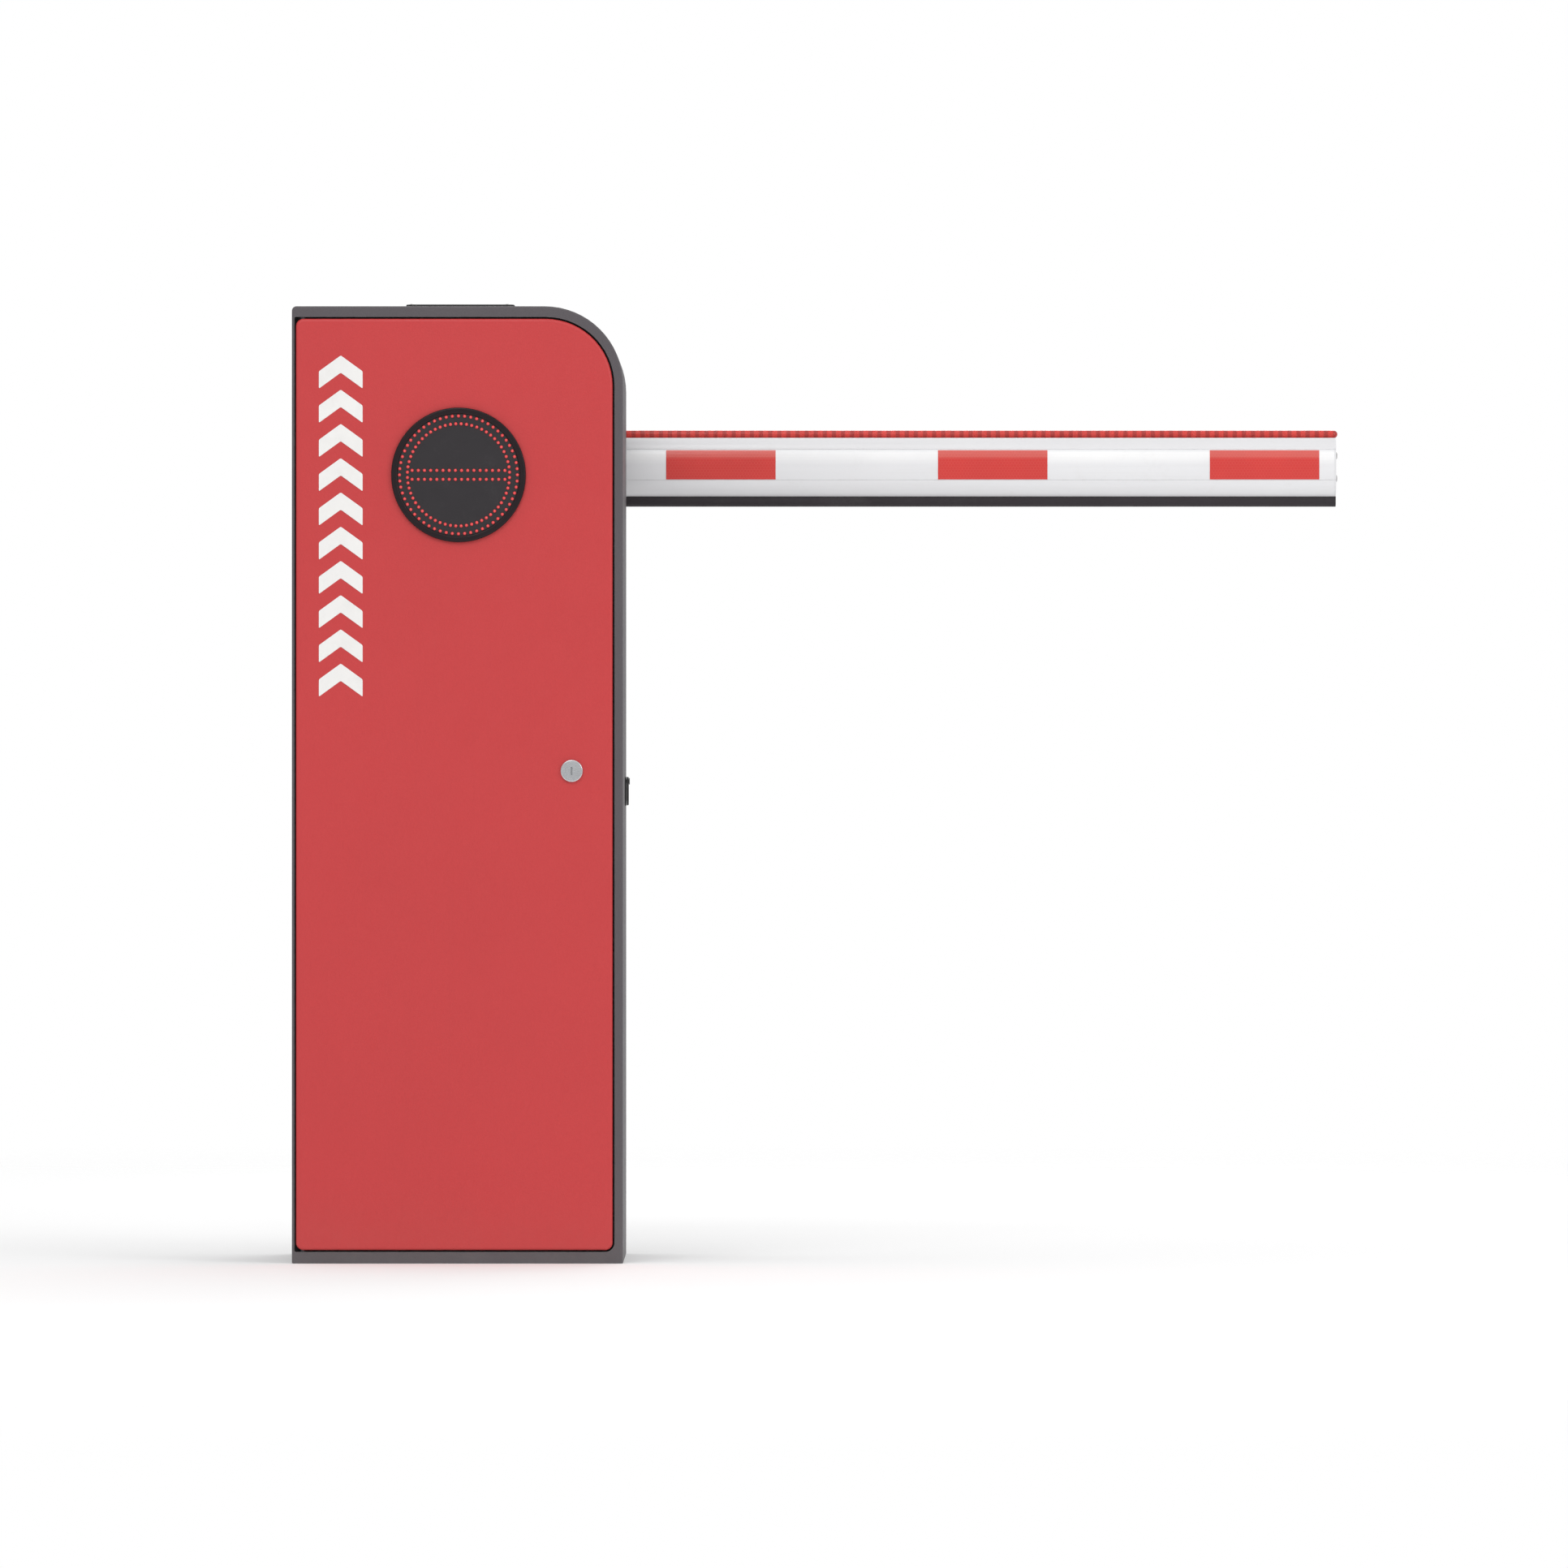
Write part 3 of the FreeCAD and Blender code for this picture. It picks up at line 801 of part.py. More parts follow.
# ---------------------------------------------------------------- side release lock
def release():
    y, z = RELEASE_Y, RELEASE_Z
    pl = slab(-12, 12, -15.7, 15.7, (11, 11, 11, 11), 0, 1.6)     # x->y, thickness along y->x
    pl.rotate(V(0, 0, 0), V(0, 0, 1), -90)
    bb = pl.BoundBox
    pl.translate(V(XR - bb.XMin, y - (bb.YMin + bb.YMax) / 2, z - (bb.ZMin + bb.ZMax) / 2))
    body = fuse(pl, cx(y, z - 2.0, 8.8, XR - 24, XR))
    body = body.cut(cx(y, z - 2.0, 6.05, XR - 30, XR + 5))
    pz = z + 10.8
    body = fuse(body, cx(y, pz, 2.0, XR + 1.6, XR + 4.4), cx(y, pz, 3.6, XR + 4.4, XR + 5.2))
    save("release_lock_body", body)
    plug = cx(y, z - 2.0, 6.0, XR - 22, XR + 1.4)
    plug = plug.cut(box(XR - 8, XR + 3, y - 0.8, y + 0.8, z - 2.0 - 3.6, z - 2.0 + 3.6))
    save("release_lock_plug", plug)
    # swinging dust cover, hung on the rivet
    cov = slab(-9.5, 9.5, -15.0, 16.0, (9.4, 9.4, 6.0, 6.0), 0, 2.3)
    cov.rotate(V(0, 0, 0), V(0, 0, 1), -90)
    bb = cov.BoundBox
    cov.translate(V(XR + 1.9 - bb.XMin, y - (bb.YMin + bb.YMax) / 2, z - 15.4 - bb.ZMin))
    ed = edges_at(cov, lambda e: abs(e.BoundBox.XMin - (XR + 4.2)) < 1e-3 and abs(e.BoundBox.XMax - (XR + 4.2)) < 1e-3)
    try:
        cov = cov.makeFillet(1.2, ed)
    except Exception as err:
        print("dust cover fillet skipped", err)
    cov = cov.cut(cx(y, pz, 2.06, XR, XR + 10))
    save("release_dust_cover", cov)
    return pz


# ---------------------------------------------------------------- electrics
CTRL = (-152.0, -6.0, 84.0, 134.0, 150.0, 385.0)       # controller case x0 x1 y0 y1 z0 z1
BTN = [(-120.0, "button_open"), (-88.0, "button_stop"), (-56.0, "button_close")]
BTN_Z = 200.0
BRK = (34.0, 70.0, 72.0, 128.0, 318.0, 402.0)
LEVER_Z = 360.0


def electrics():
    plate = box(-158, 158, 134.0, 136.0, 110, 430)
    for x in (-140, 140):
        for z in (130, 410):
            plate = plate.fuse(cy(x, z, 7.0, 136.0, REAR_Y - SHEET))
    save("equipment_plate", plate.removeSplitter())

    x0, x1, y0, y1, z0, z1 = CTRL
    c = slab(x0, x1, z0, z1, (8, 8, 8, 8), y0, y1)
    ed = edges_at(c, lambda e: abs(e.BoundBox.YMin - y0) < 1e-4 and abs(e.BoundBox.YMax - y0) < 1e-4)
    c = c.makeFillet(3.0, ed)
    c = c.cut(slab(x0 + 2.5, x1 - 2.5, z0 + 2.5, z1 - 2.5, (6, 6, 6, 6), y0 + 2.5, y1 - 2.0))
    for bx, _ in BTN:
        c = c.cut(cy(bx, BTN_Z, 8.1, y0 - 1, y0 + 5))
    # display window, button guard rings, a row of plug sockets along the bottom
    c = c.cut(slab(-130, -30, 300, 345, (3, 3, 3, 3), y0 - 1, y0 + 1.2))
    for k in range(6):
        c = c.cut(box(-146 + 23 * k, -146 + 23 * k + 17, y0 + 14, y0 + 24, z0 - 1, z0 + 5))
    save("controller_case", c)
    for bx, name in BTN:
        b = cy(bx, BTN_Z, 8.0, y0 - 3.0, y0 + 2.4)
        ed = edges_at(b, lambda e: abs(e.BoundBox.YMin - (y0 - 3.0)) < 1e-4 and abs(e.BoundBox.YMax - (y0 - 3.0)) < 1e-4)
        b = b.makeFillet(0.9, ed)
        b = fuse(b, cy(bx, BTN_Z, 9.6, y0 + 2.5, y0 + 3.5), cy(bx, BTN_Z, 7.0, y0 + 2.4, y0 + 2.5))
        save(name, b)

    # hat rail and the terminal blocks on it
    rail = fuse(box(22, 152, 134.0 - 7.5, 134.0 - 6.5, 337.5, 372.5).cut(box(20, 154, 120, 130, 342.5, 367.5)),
                box(22, 152, 134.0 - 6.5, 134.0, 341.5, 342.5), box(22, 152, 134.0 - 6.5, 134.0, 367.5, 368.5), box(22, 152, 133.0, 134.0, 342.5, 367.5))
    save("din_rail", rail)
    blocks = []
    for k in range(10):
        xa = 78.0 + 7.2 * k
        b = poly_x([(126.4, 328), (126.4, 382), (112, 382), (96, 372), (96, 366), (84, 366), (84, 344), (96, 344), (96, 338), (112, 328)], xa, xa + 6.4)
        for z in (350.0, 360.0):
            b = b.cut(Part.makeCylinder(2.0, 4.0, V(xa + 3.2, 83.0, z), V(0, 1, 0)))
        blocks.append(b)
    save("terminal_blocks", blocks)

    x0, x1, y0, y1, z0, z1 = BRK
    y1 = 126.4
    b = poly_x([(y1, z0), (y1, z1), (y0 + 18, z1), (y0 + 18, z1 - 20), (y0, z1 - 24), (y0, z0 + 24), (y0 + 18, z0 + 20), (y0 + 18, z0)], x0, x1)
    b = b.cut(box(x0 + 6, x1 - 6, y0 - 1, y0 + 13, LEVER_Z - 13, LEVER_Z + 13))
    # the toggle's pivot pin crosses the slot
    b = b.fuse(cx(y0 + 6.0, LEVER_Z, 1.5, x0 + 5.0, x1 - 5.0)).removeSplitter()
    save("circuit_breaker", b)
    lev = fuse(cx(y0 + 6.0, LEVER_Z, 5.5, x0 + 6.4, x1 - 6.4), box(x0 + 6.4, x1 - 6.4, y0 - 9.0, y0 + 3.0, LEVER_Z - 2.6, LEVER_Z + 2.6))
    lev = lev.cut(cx(y0 + 6.0, LEVER_Z, 1.56, x0, x1))
    lev.rotate(V(0, y0 + 6.0, LEVER_Z), V(1, 0, 0), -28.0)
    save("breaker_toggle", lev)

    # power supply in a perforated case
    p = slab(26, 150, 160, 262, (3, 3, 3, 3), 96, 134)
    p = p.cut(slab(27.5, 148.5, 161.5, 260.5, (1.5, 1.5, 1.5, 1.5), 97.5, 133))
    slots = [box(40 + 13 * (k % 8), 49 + 13 * (k % 8), 95, 98.5, 176 + 14 * (k // 8), 180 + 14 * (k // 8)) for k in range(40)]
    p = p.cut(Part.makeCompound(slots))
    save("power_supply", p)


set_stops()
cabinet()
drive_frame()
springs()
gearbox()
shaft_parts()
boom()
door()
indicator()
door_lock()
release()
electrics()
print("parts written:", len(os.listdir("parts")))
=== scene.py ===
import math
import random

import bmesh
import bpy
from mathutils import Matrix, Vector, noise


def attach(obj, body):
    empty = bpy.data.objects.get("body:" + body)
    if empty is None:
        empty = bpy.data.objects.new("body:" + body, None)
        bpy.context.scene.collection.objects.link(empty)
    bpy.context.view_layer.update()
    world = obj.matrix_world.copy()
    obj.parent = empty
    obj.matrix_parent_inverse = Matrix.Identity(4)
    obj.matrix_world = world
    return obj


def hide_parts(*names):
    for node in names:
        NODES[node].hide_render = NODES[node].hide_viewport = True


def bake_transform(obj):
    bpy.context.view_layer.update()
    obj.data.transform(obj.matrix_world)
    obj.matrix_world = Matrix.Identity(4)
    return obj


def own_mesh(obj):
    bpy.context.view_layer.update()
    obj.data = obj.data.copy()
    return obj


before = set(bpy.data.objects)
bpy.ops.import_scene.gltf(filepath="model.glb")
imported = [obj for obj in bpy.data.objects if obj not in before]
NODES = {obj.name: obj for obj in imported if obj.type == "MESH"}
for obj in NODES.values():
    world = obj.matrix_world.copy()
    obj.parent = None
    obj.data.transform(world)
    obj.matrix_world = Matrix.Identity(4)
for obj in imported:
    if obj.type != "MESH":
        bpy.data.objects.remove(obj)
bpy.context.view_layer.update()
random.seed(7)
MM = 0.001


# ------------------------------------------------------------------ colour and node helpers
def lin(r, g, b):
    def f(c):
        c = c / 255.0
        return c / 12.92 if c <= 0.04045 else ((c + 0.055) / 1.055) ** 2.4
    return (f(r), f(g), f(b), 1.0)


def scaled(c, k):
    return (min(1, c[0] * k), min(1, c[1] * k), min(1, c[2] * k), 1.0)


class Graph:
    """A small helper round a material's node tree."""

    def __init__(self, name):
        self.mat = bpy.data.materials.new(name)
        self.mat.use_nodes = True
        self.t = self.mat.node_tree
        self.t.nodes.clear()
        self.out = self.t.nodes.new("ShaderNodeOutputMaterial")
        self.bsdf = self.t.nodes.new("ShaderNodeBsdfPrincipled")
        self.link(self.bsdf.outputs[0], self.out.inputs[0])
        self.co = self.t.nodes.new("ShaderNodeTexCoord").outputs["Object"]

    def link(self, a, b):
        self.t.links.new(a, b)

    def node(self, kind, **props):
        n = self.t.nodes.new(kind)
        for k, v in props.items():
            setattr(n, k, v)
        return n

    def put(self, socket, value):
        if hasattr(value, "is_output") or isinstance(value, bpy.types.NodeSocket):
            self.link(value, socket)
        else:
            socket.default_value = value

    def math(self, op, a, b=0.0, c=0.0, clamp=False):
        n = self.node("ShaderNodeMath", operation=op, use_clamp=clamp)
        self.put(n.inputs[0], a)
        self.put(n.inputs[1], b)
        self.put(n.inputs[2], c)
        return n.outputs[0]

    def mix(self, f, a, b, blend="MIX"):
        n = self.node("ShaderNodeMix", data_type="RGBA", blend_type=blend)
        self.put(n.inputs[0], f)
        self.put(n.inputs[6], a)
        self.put(n.inputs[7], b)
        return n.outputs[2]

    def scale(self, sx, sy, sz, rot=(0, 0, 0), loc=(0, 0, 0)):
        n = self.node("ShaderNodeMapping")
        self.link(self.co, n.inputs[0])
        n.inputs["Scale"].default_value = (sx, sy, sz)
        n.inputs["Rotation"].default_value = rot
        n.inputs["Location"].default_value = loc
        return n.outputs[0]

    def noise(self, scale, detail=3.0, rough=0.5, vec=None, distortion=0.0):
        n = self.node("ShaderNodeTexNoise")
        self.link(vec if vec is not None else self.co, n.inputs["Vector"])
        n.inputs["Scale"].default_value = scale
        n.inputs["Detail"].default_value = detail
        n.inputs["Roughness"].default_value = rough
        n.inputs["Distortion"].default_value = distortion
        return n.outputs[0]

    def voronoi(self, scale, vec=None, feature="F1", rand=1.0):
        n = self.node("ShaderNodeTexVoronoi", feature=feature)
        self.link(vec if vec is not None else self.co, n.inputs["Vector"])
        n.inputs["Scale"].default_value = scale
        n.inputs["Randomness"].default_value = rand
        return n

    def map(self, v, a, b, c=0.0, d=1.0, smooth=False):
        n = self.node("ShaderNodeMapRange")
        if smooth:
            n.interpolation_type = "SMOOTHSTEP"
        self.put(n.inputs[0], v)
        for k, val in zip((1, 2, 3, 4), (a, b, c, d)):
            self.put(n.inputs[k], val)
        return n.outputs[0]

    def xyz(self, vec=None):
        n = self.node("ShaderNodeSeparateXYZ")
        self.link(vec if vec is not None else self.co, n.inputs[0])
        return n.outputs

    def edges(self, radius=0.0012):
        """0 on flats, 1 on convex and concave edges."""
        b = self.node("ShaderNodeBevel", samples=4)
        b.inputs[0].default_value = radius
        g = self.node("ShaderNodeNewGeometry")
        d = self.node("ShaderNodeVectorMath", operation="DOT_PRODUCT")
        self.link(b.outputs[0], d.inputs[0])
        self.link(g.outputs["Normal"], d.inputs[1])
        return self.map(d.outputs["Value"], 0.995, 0.86, 0.0, 1.0)

    def bump(self, height, dist=0.0002, strength=1.0, normal=None):
        n = self.node("ShaderNodeBump")
        n.inputs["Distance"].default_value = dist
        n.inputs["Strength"].default_value = strength
        self.link(height, n.inputs["Height"])
        if normal is not None:
            self.link(normal, n.inputs["Normal"])
        return n.outputs[0]

    def set(self, **kw):
        for k, v in kw.items():
            self.put(self.bsdf.inputs[k.replace("_", " ")], v)
        return self


def powder(name, base, rough=0.42, grain=1100, depth=0.00006, var=0.05, wear=None, wear_amt=0.5, dust=0.25, dust_top=0.16,
           dust_col=(150, 138, 122), chips=0.0, spec=0.5):
    """Powder coat: fine orange peel, slight tone drift, rubbed edges, dust near the ground."""
    g = Graph(name)
    tone = g.noise(3.5, 4, 0.6)
    col = g.mix(g.map(tone, 0.3, 0.7), scaled(base, 1 - var), scaled(base, 1 + var))
    speck = g.noise(grain * 0.9, 1.5, 0.5)
    col = g.mix(g.map(speck, 0.25, 0.75, 0.0, 0.10), col, scaled(base, 0.62))
    r = g.map(g.noise(45, 4, 0.65), 0.25, 0.75, rough - 0.06, rough + 0.08)
    # faint vertical wipe marks and rain streaks
    streak = g.noise(1.0, 5, 0.6, vec=g.scale(95, 95, 2.2))
    col = g.mix(g.map(streak, 0.52, 0.82, 0.0, 0.11), col, scaled(base, 0.84))
    r = g.math("ADD", r, g.map(streak, 0.5, 0.85, 0.0, 0.03))
    if dust:
        z = g.xyz()[2]
        wobble = g.math("MULTIPLY", g.math("SUBTRACT", g.noise(7, 5, 0.6), 0.5), dust_top * 0.9)
        low = g.map(g.math("ADD", z, wobble), dust_top * 1.5, -dust_top * 0.3, 0.0, 1.0, smooth=True)
        low = g.math("MULTIPLY", low, low)
        n = g.map(g.noise(26, 6, 0.7), 0.25, 0.80, 0.25, 1.0)
        f = g.math("MULTIPLY", g.math("MULTIPLY", low, n), dust)
        col = g.mix(f, col, lin(*dust_col))
        r = g.math("ADD", r, g.math("MULTIPLY", f, 0.35))
    if wear is not None:
        e = g.edges(0.0013)
        n = g.map(g.noise(160, 5, 0.7), 0.44, 0.66)
        f = g.math("MULTIPLY", g.math("MULTIPLY", e, n), wear_amt, clamp=True)
        col = g.mix(f, col, wear)
    if chips:
        v = g.noise(75, 8, 0.75)
        f = g.map(v, 0.735, 0.745, 0.0, chips)
        col = g.mix(f, col, lin(120, 112, 104))
    h = g.math("ADD", g.noise(grain, 2.0, 0.5), g.math("MULTIPLY", g.noise(grain * 0.32, 1.0, 0.5), 1.3))
    g.set(Base_Color=col, Roughness=r, Normal=g.bump(h, depth * 1.9, 1.0))
    g.bsdf.inputs["Specular IOR Level"].default_value = spec
    return g.mat


def plastic(name, base, rough=0.45, grain=1800, depth=0.00004, var=0.06, wear=0.25, wear_col=None, spec=0.5, coat=0.0):
    g = Graph(name)
    col = g.mix(g.map(g.noise(14, 4, 0.6), 0.3, 0.7), scaled(base, 1 - var), scaled(base, 1 + var))
    dirt = g.map(g.noise(38, 7, 0.72), 0.52, 0.85, 0.0, 0.22)
    col = g.mix(dirt, col, scaled(base, 0.66))
    if wear:
        f = g.math("MULTIPLY", g.edges(0.0009), g.map(g.noise(300, 4, 0.7), 0.35, 0.7, 0.0, wear))
        col = g.mix(f, col, wear_col or scaled(base, 1.7))
    r = g.map(g.noise(70, 5, 0.7), 0.25, 0.75, rough - 0.07, rough + 0.1)
    g.set(Base_Color=col, Roughness=r, Normal=g.bump(g.noise(grain, 2.5, 0.6), depth, 0.8))
    g.bsdf.inputs["Specular IOR Level"].default_value = spec
    g.bsdf.inputs["Coat Weight"].default_value = coat
    g.bsdf.inputs["Coat Roughness"].default_value = 0.08
    return g.mat


def metal(name, base, rough=0.34, brush=None, brush_amt=0.10, var=0.10, spangle=0.0, wear=0.0, oil=0.0, rust=0.0, cast=0.0, grain=2600):
    """Bare or plated metal. brush is the mapping scale of the drawn grain, spangle the zinc crystal size, cast a sand texture."""
    g = Graph(name)
    col = g.mix(g.map(g.noise(22, 5, 0.65), 0.28, 0.72), scaled(base, 1 - var), scaled(base, 1 + var))
    r = g.map(g.noise(55, 5, 0.7), 0.25, 0.75, rough - 0.08, rough + 0.10)
    h = g.noise(grain, 2.0, 0.5)
    if brush:
        s = g.noise(1.0, 3.0, 0.7, vec=g.scale(*brush))
        col = g.mix(g.map(s, 0.25, 0.75, 0.0, brush_amt * 2), col, scaled(base, 0.72))
        r = g.math("ADD", r, g.map(s, 0.2, 0.8, -brush_amt * 0.6, brush_amt))
        h = g.math("ADD", h, g.math("MULTIPLY", s, 1.6))
    if spangle:
        v = g.voronoi(spangle)
        sp = g.node("ShaderNodeSeparateColor")
        g.link(v.outputs["Color"], sp.inputs[0])
        col = g.mix(g.map(sp.outputs[0], 0, 1, 0.0, 0.34), col, scaled(base, 0.70))
        r = g.math("ADD", r, g.map(sp.outputs[1], 0, 1, -0.07, 0.09))
    if cast:
        h = g.math("ADD", h, g.math("MULTIPLY", g.noise(cast, 5.0, 0.7), 3.0))
        pits = g.map(g.noise(cast * 1.7, 3, 0.6), 0.58, 0.72, 0.0, 0.45)
        col = g.mix(pits, col, scaled(base, 0.55))
    if oil:
        o = g.map(g.noise(30, 6, 0.7), 0.45, 0.7, 0.0, oil)
        col = g.mix(o, col, scaled(lin(92, 76, 52), 1.0))
        r = g.math("SUBTRACT", r, g.math("MULTIPLY", o, 0.16))
    if rust:
        f = g.math("MULTIPLY", g.map(g.noise(60, 8, 0.75), 0.60, 0.72), rust)
        col = g.mix(f, col, lin(122, 66, 34))
        r = g.math("ADD", r, g.math("MULTIPLY", f, 0.4))
        met = g.math("SUBTRACT", 1.0, g.math("MULTIPLY", f, 0.9))
        g.set(Metallic=met)
    else:
        g.set(Metallic=1.0)
    if wear:
        f = g.math("MULTIPLY", g.edges(0.0009), wear)
        col = g.mix(f, col, scaled(base, 1.35))
        r = g.math("SUBTRACT", r, g.math("MULTIPLY", f, 0.12))
    dep = 0.00016 if cast else 0.00003
    g.set(Base_Color=col, Roughness=r, Normal=g.bump(h, dep, 0.7))
    return g.mat


def rubber(name, base=(44, 43, 44), rough=0.72, grain=1500, ribs=None):
    g = Graph(name)
    b = lin(*base)
    col = g.mix(g.map(g.noise(30, 6, 0.7), 0.3, 0.75), scaled(b, 0.8), scaled(b, 1.25))
    bloom = g.map(g.noise(9, 7, 0.75), 0.55, 0.8, 0.0, 0.30)
    col = g.mix(bloom, col, lin(92, 90, 88))
    h = g.noise(grain, 3, 0.6)
    if ribs:
        z = g.xyz()[2]
        w = g.math("SINE", g.math("MULTIPLY", z, ribs))
        h = g.math("ADD", h, g.math("MULTIPLY", w, 0.8))
    r = g.map(g.noise(60, 4, 0.6), 0.3, 0.7, rough - 0.08, rough + 0.1)
    g.set(Base_Color=col, Roughness=r, Normal=g.bump(h, 0.00009, 0.8))
    g.bsdf.inputs["Specular IOR Level"].default_value = 0.35
    return g.mat


# ------------------------------------------------------------------ materials
M = {}
RED = lin(196, 55, 57)
GREY = lin(84, 79, 83)
M["cabinet"] = powder("cabinet_powder_coat", GREY, rough=0.46, wear=lin(150, 147, 146), wear_amt=0.35, dust=0.20, dust_top=0.14,
                      dust_col=(140, 136, 130))
M["door"] = powder("door_powder_coat", RED, rough=0.44, wear=lin(224, 140, 134), wear_amt=0.22, dust=0.14, dust_top=0.10, var=0.025,
                   dust_col=(176, 120, 108))
M["decal"] = plastic("white_vinyl_decal", lin(236, 235, 233), rough=0.36, grain=700, depth=0.00003, var=0.02, wear=0.0)
M["zinc"] = metal("galvanised_sheet", lin(176, 178, 178), rough=0.40, spangle=75, var=0.08, wear=0.3, rust=0.10)
M["zinc_plate"] = metal("zinc_plated_steel", lin(186, 184, 176), rough=0.33, brush=(160, 6, 160), brush_amt=0.07, wear=0.3, rust=0.05)
M["bolt"] = metal("bright_zinc", lin(200, 200, 198), rough=0.27, var=0.06, wear=0.35)
M["shaft"] = metal("ground_steel", lin(182, 181, 178), rough=0.22, brush=(40, 1400, 40), brush_amt=0.05, oil=0.25, wear=0.3)
M["gear"] = metal("hobbed_steel", lin(150, 148, 144), rough=0.30, brush=(260, 3000, 260), brush_amt=0.08, oil=0.45, wear=0.5)
M["cast"] = metal("sand_cast_aluminium", lin(178, 179, 181), rough=0.48, cast=620, var=0.06, wear=0.45)
M["lock"] = metal("satin_chrome", lin(206, 208, 211), rough=0.24, brush=(30, 30, 900), brush_amt=0.05, var=0.03, wear=0.3)
M["spring"] = metal("oiled_spring_wire", lin(92, 90, 90), rough=0.34, brush=(300, 300, 900), brush_amt=0.06, oil=0.35, wear=0.5)
M["drive"] = powder("satin_machine_enamel", lin(60, 63, 67), rough=0.38, grain=700, depth=0.00004, wear=lin(150, 148, 144), wear_amt=0.7, dust=0.0)
M["arm"] = powder("zinc_yellow_enamel", lin(198, 152, 44), rough=0.36, grain=800, depth=0.00004, wear=lin(190, 184, 170), wear_amt=0.8, dust=0.0)
M["motor"] = powder("motor_enamel", lin(44, 47, 52), rough=0.40, grain=900, depth=0.00005, wear=lin(132, 132, 134), wear_amt=0.7, dust=0.0)
M["black_plastic"] = plastic("black_grained_plastic", lin(33, 33, 35), rough=0.50, grain=1300, depth=0.00006)
M["bezel"] = plastic("satin_black_moulding", lin(30, 20, 24), rough=0.36, grain=2200, depth=0.00002, wear=0.3, wear_col=lin(70, 62, 66), spec=0.25)
M["wheel"] = plastic("red_nylon", lin(188, 40, 34), rough=0.40, grain=900, depth=0.00005, wear_col=lin(226, 110, 96))
M["case"] = plastic("light_grey_case", lin(198, 200, 198), rough=0.46, grain=1500, depth=0.00005, var=0.03, wear=0.3, wear_col=lin(230, 230, 228))
M["terminal"] = plastic("grey_polyamide", lin(140, 146, 150), rough=0.42, grain=2000, var=0.05)
M["white_cap"] = plastic("white_moulding", lin(222, 222, 224), rough=0.40, grain=1500, var=0.02, wear=0.2, wear_col=lin(250, 250, 250))
M["green"] = plastic("green_cap", lin(34, 138, 70), rough=0.28, coat=0.5, wear=0.2)
M["redcap"] = plastic("red_cap", lin(198, 34, 32), rough=0.28, coat=0.5, wear=0.2)
M["blue"] = plastic("blue_cap", lin(36, 80, 168), rough=0.28, coat=0.5, wear=0.2)
M["rubber"] = rubber("epdm_rubber")
M["bumper"] = rubber("bumper_rubber", base=(45, 40, 44), rough=0.6, ribs=5200)
M["seal"] = rubber("foam_seal", base=(36, 36, 37), rough=0.85, grain=900)


def boom_paint():
    g = Graph("boom_white_powder_coat")
    base = lin(233, 233, 235)
    z = g.xyz()[2]
    # painted highlight: a lighter band across the upper middle of the profile, painted where the light falls brightest
    painted_highlight_band = g.math("MULTIPLY", g.map(z, 0.8620, 0.8735, smooth=True), g.map(z, 0.8800, 0.8765, smooth=True))
    base_with_painted_light = g.mix(painted_highlight_band, base, lin(249, 249, 249))
    # painted shade: the facet above the reflector band, under the hose, is painted darker
    base_with_painted_light = g.mix(g.map(z, 0.8795, 0.8835, 0.0, 0.75, smooth=True), base_with_painted_light, lin(220, 219, 221))
    # painted shade: the lower part of the profile is painted darker towards the bottom
    base_with_painted_light = g.mix(g.map(z, 0.8600, 0.8440, 0.0, 0.6, smooth=True), base_with_painted_light, lin(224, 224, 226))
    col = g.mix(g.map(g.noise(5, 4, 0.6), 0.3, 0.7), g.mix(0.5, base_with_painted_light, scaled(base, 0.95)), base_with_painted_light)
    # drawn-length streaks from handling and rain
    s = g.noise(1.0, 5, 0.65, vec=g.scale(3.5, 140, 140))
    col = g.mix(g.map(s, 0.52, 0.85, 0.0, 0.14), col, lin(196, 194, 190))
    d = g.map(g.noise(34, 8, 0.75), 0.56, 0.82, 0.0, 0.12)
    col = g.mix(d, col, lin(176, 168, 156))
    e = g.math("MULTIPLY", g.edges(0.0008), g.map(g.noise(140, 4, 0.7), 0.45, 0.7, 0.0, 0.28))
    col = g.mix(e, col, lin(168, 168, 170))
    r = g.map(g.noise(60, 5, 0.7), 0.25, 0.75, 0.26, 0.40)
    h = g.math("ADD", g.noise(900, 2, 0.5), g.math("MULTIPLY", s, 0.6))
    g.set(Base_Color=col, Roughness=r, Normal=g.bump(h, 0.00004, 0.7))
    g.bsdf.inputs["Coat Weight"].default_value = 0.25
    g.bsdf.inputs["Coat Roughness"].default_value = 0.12
    return g.mat


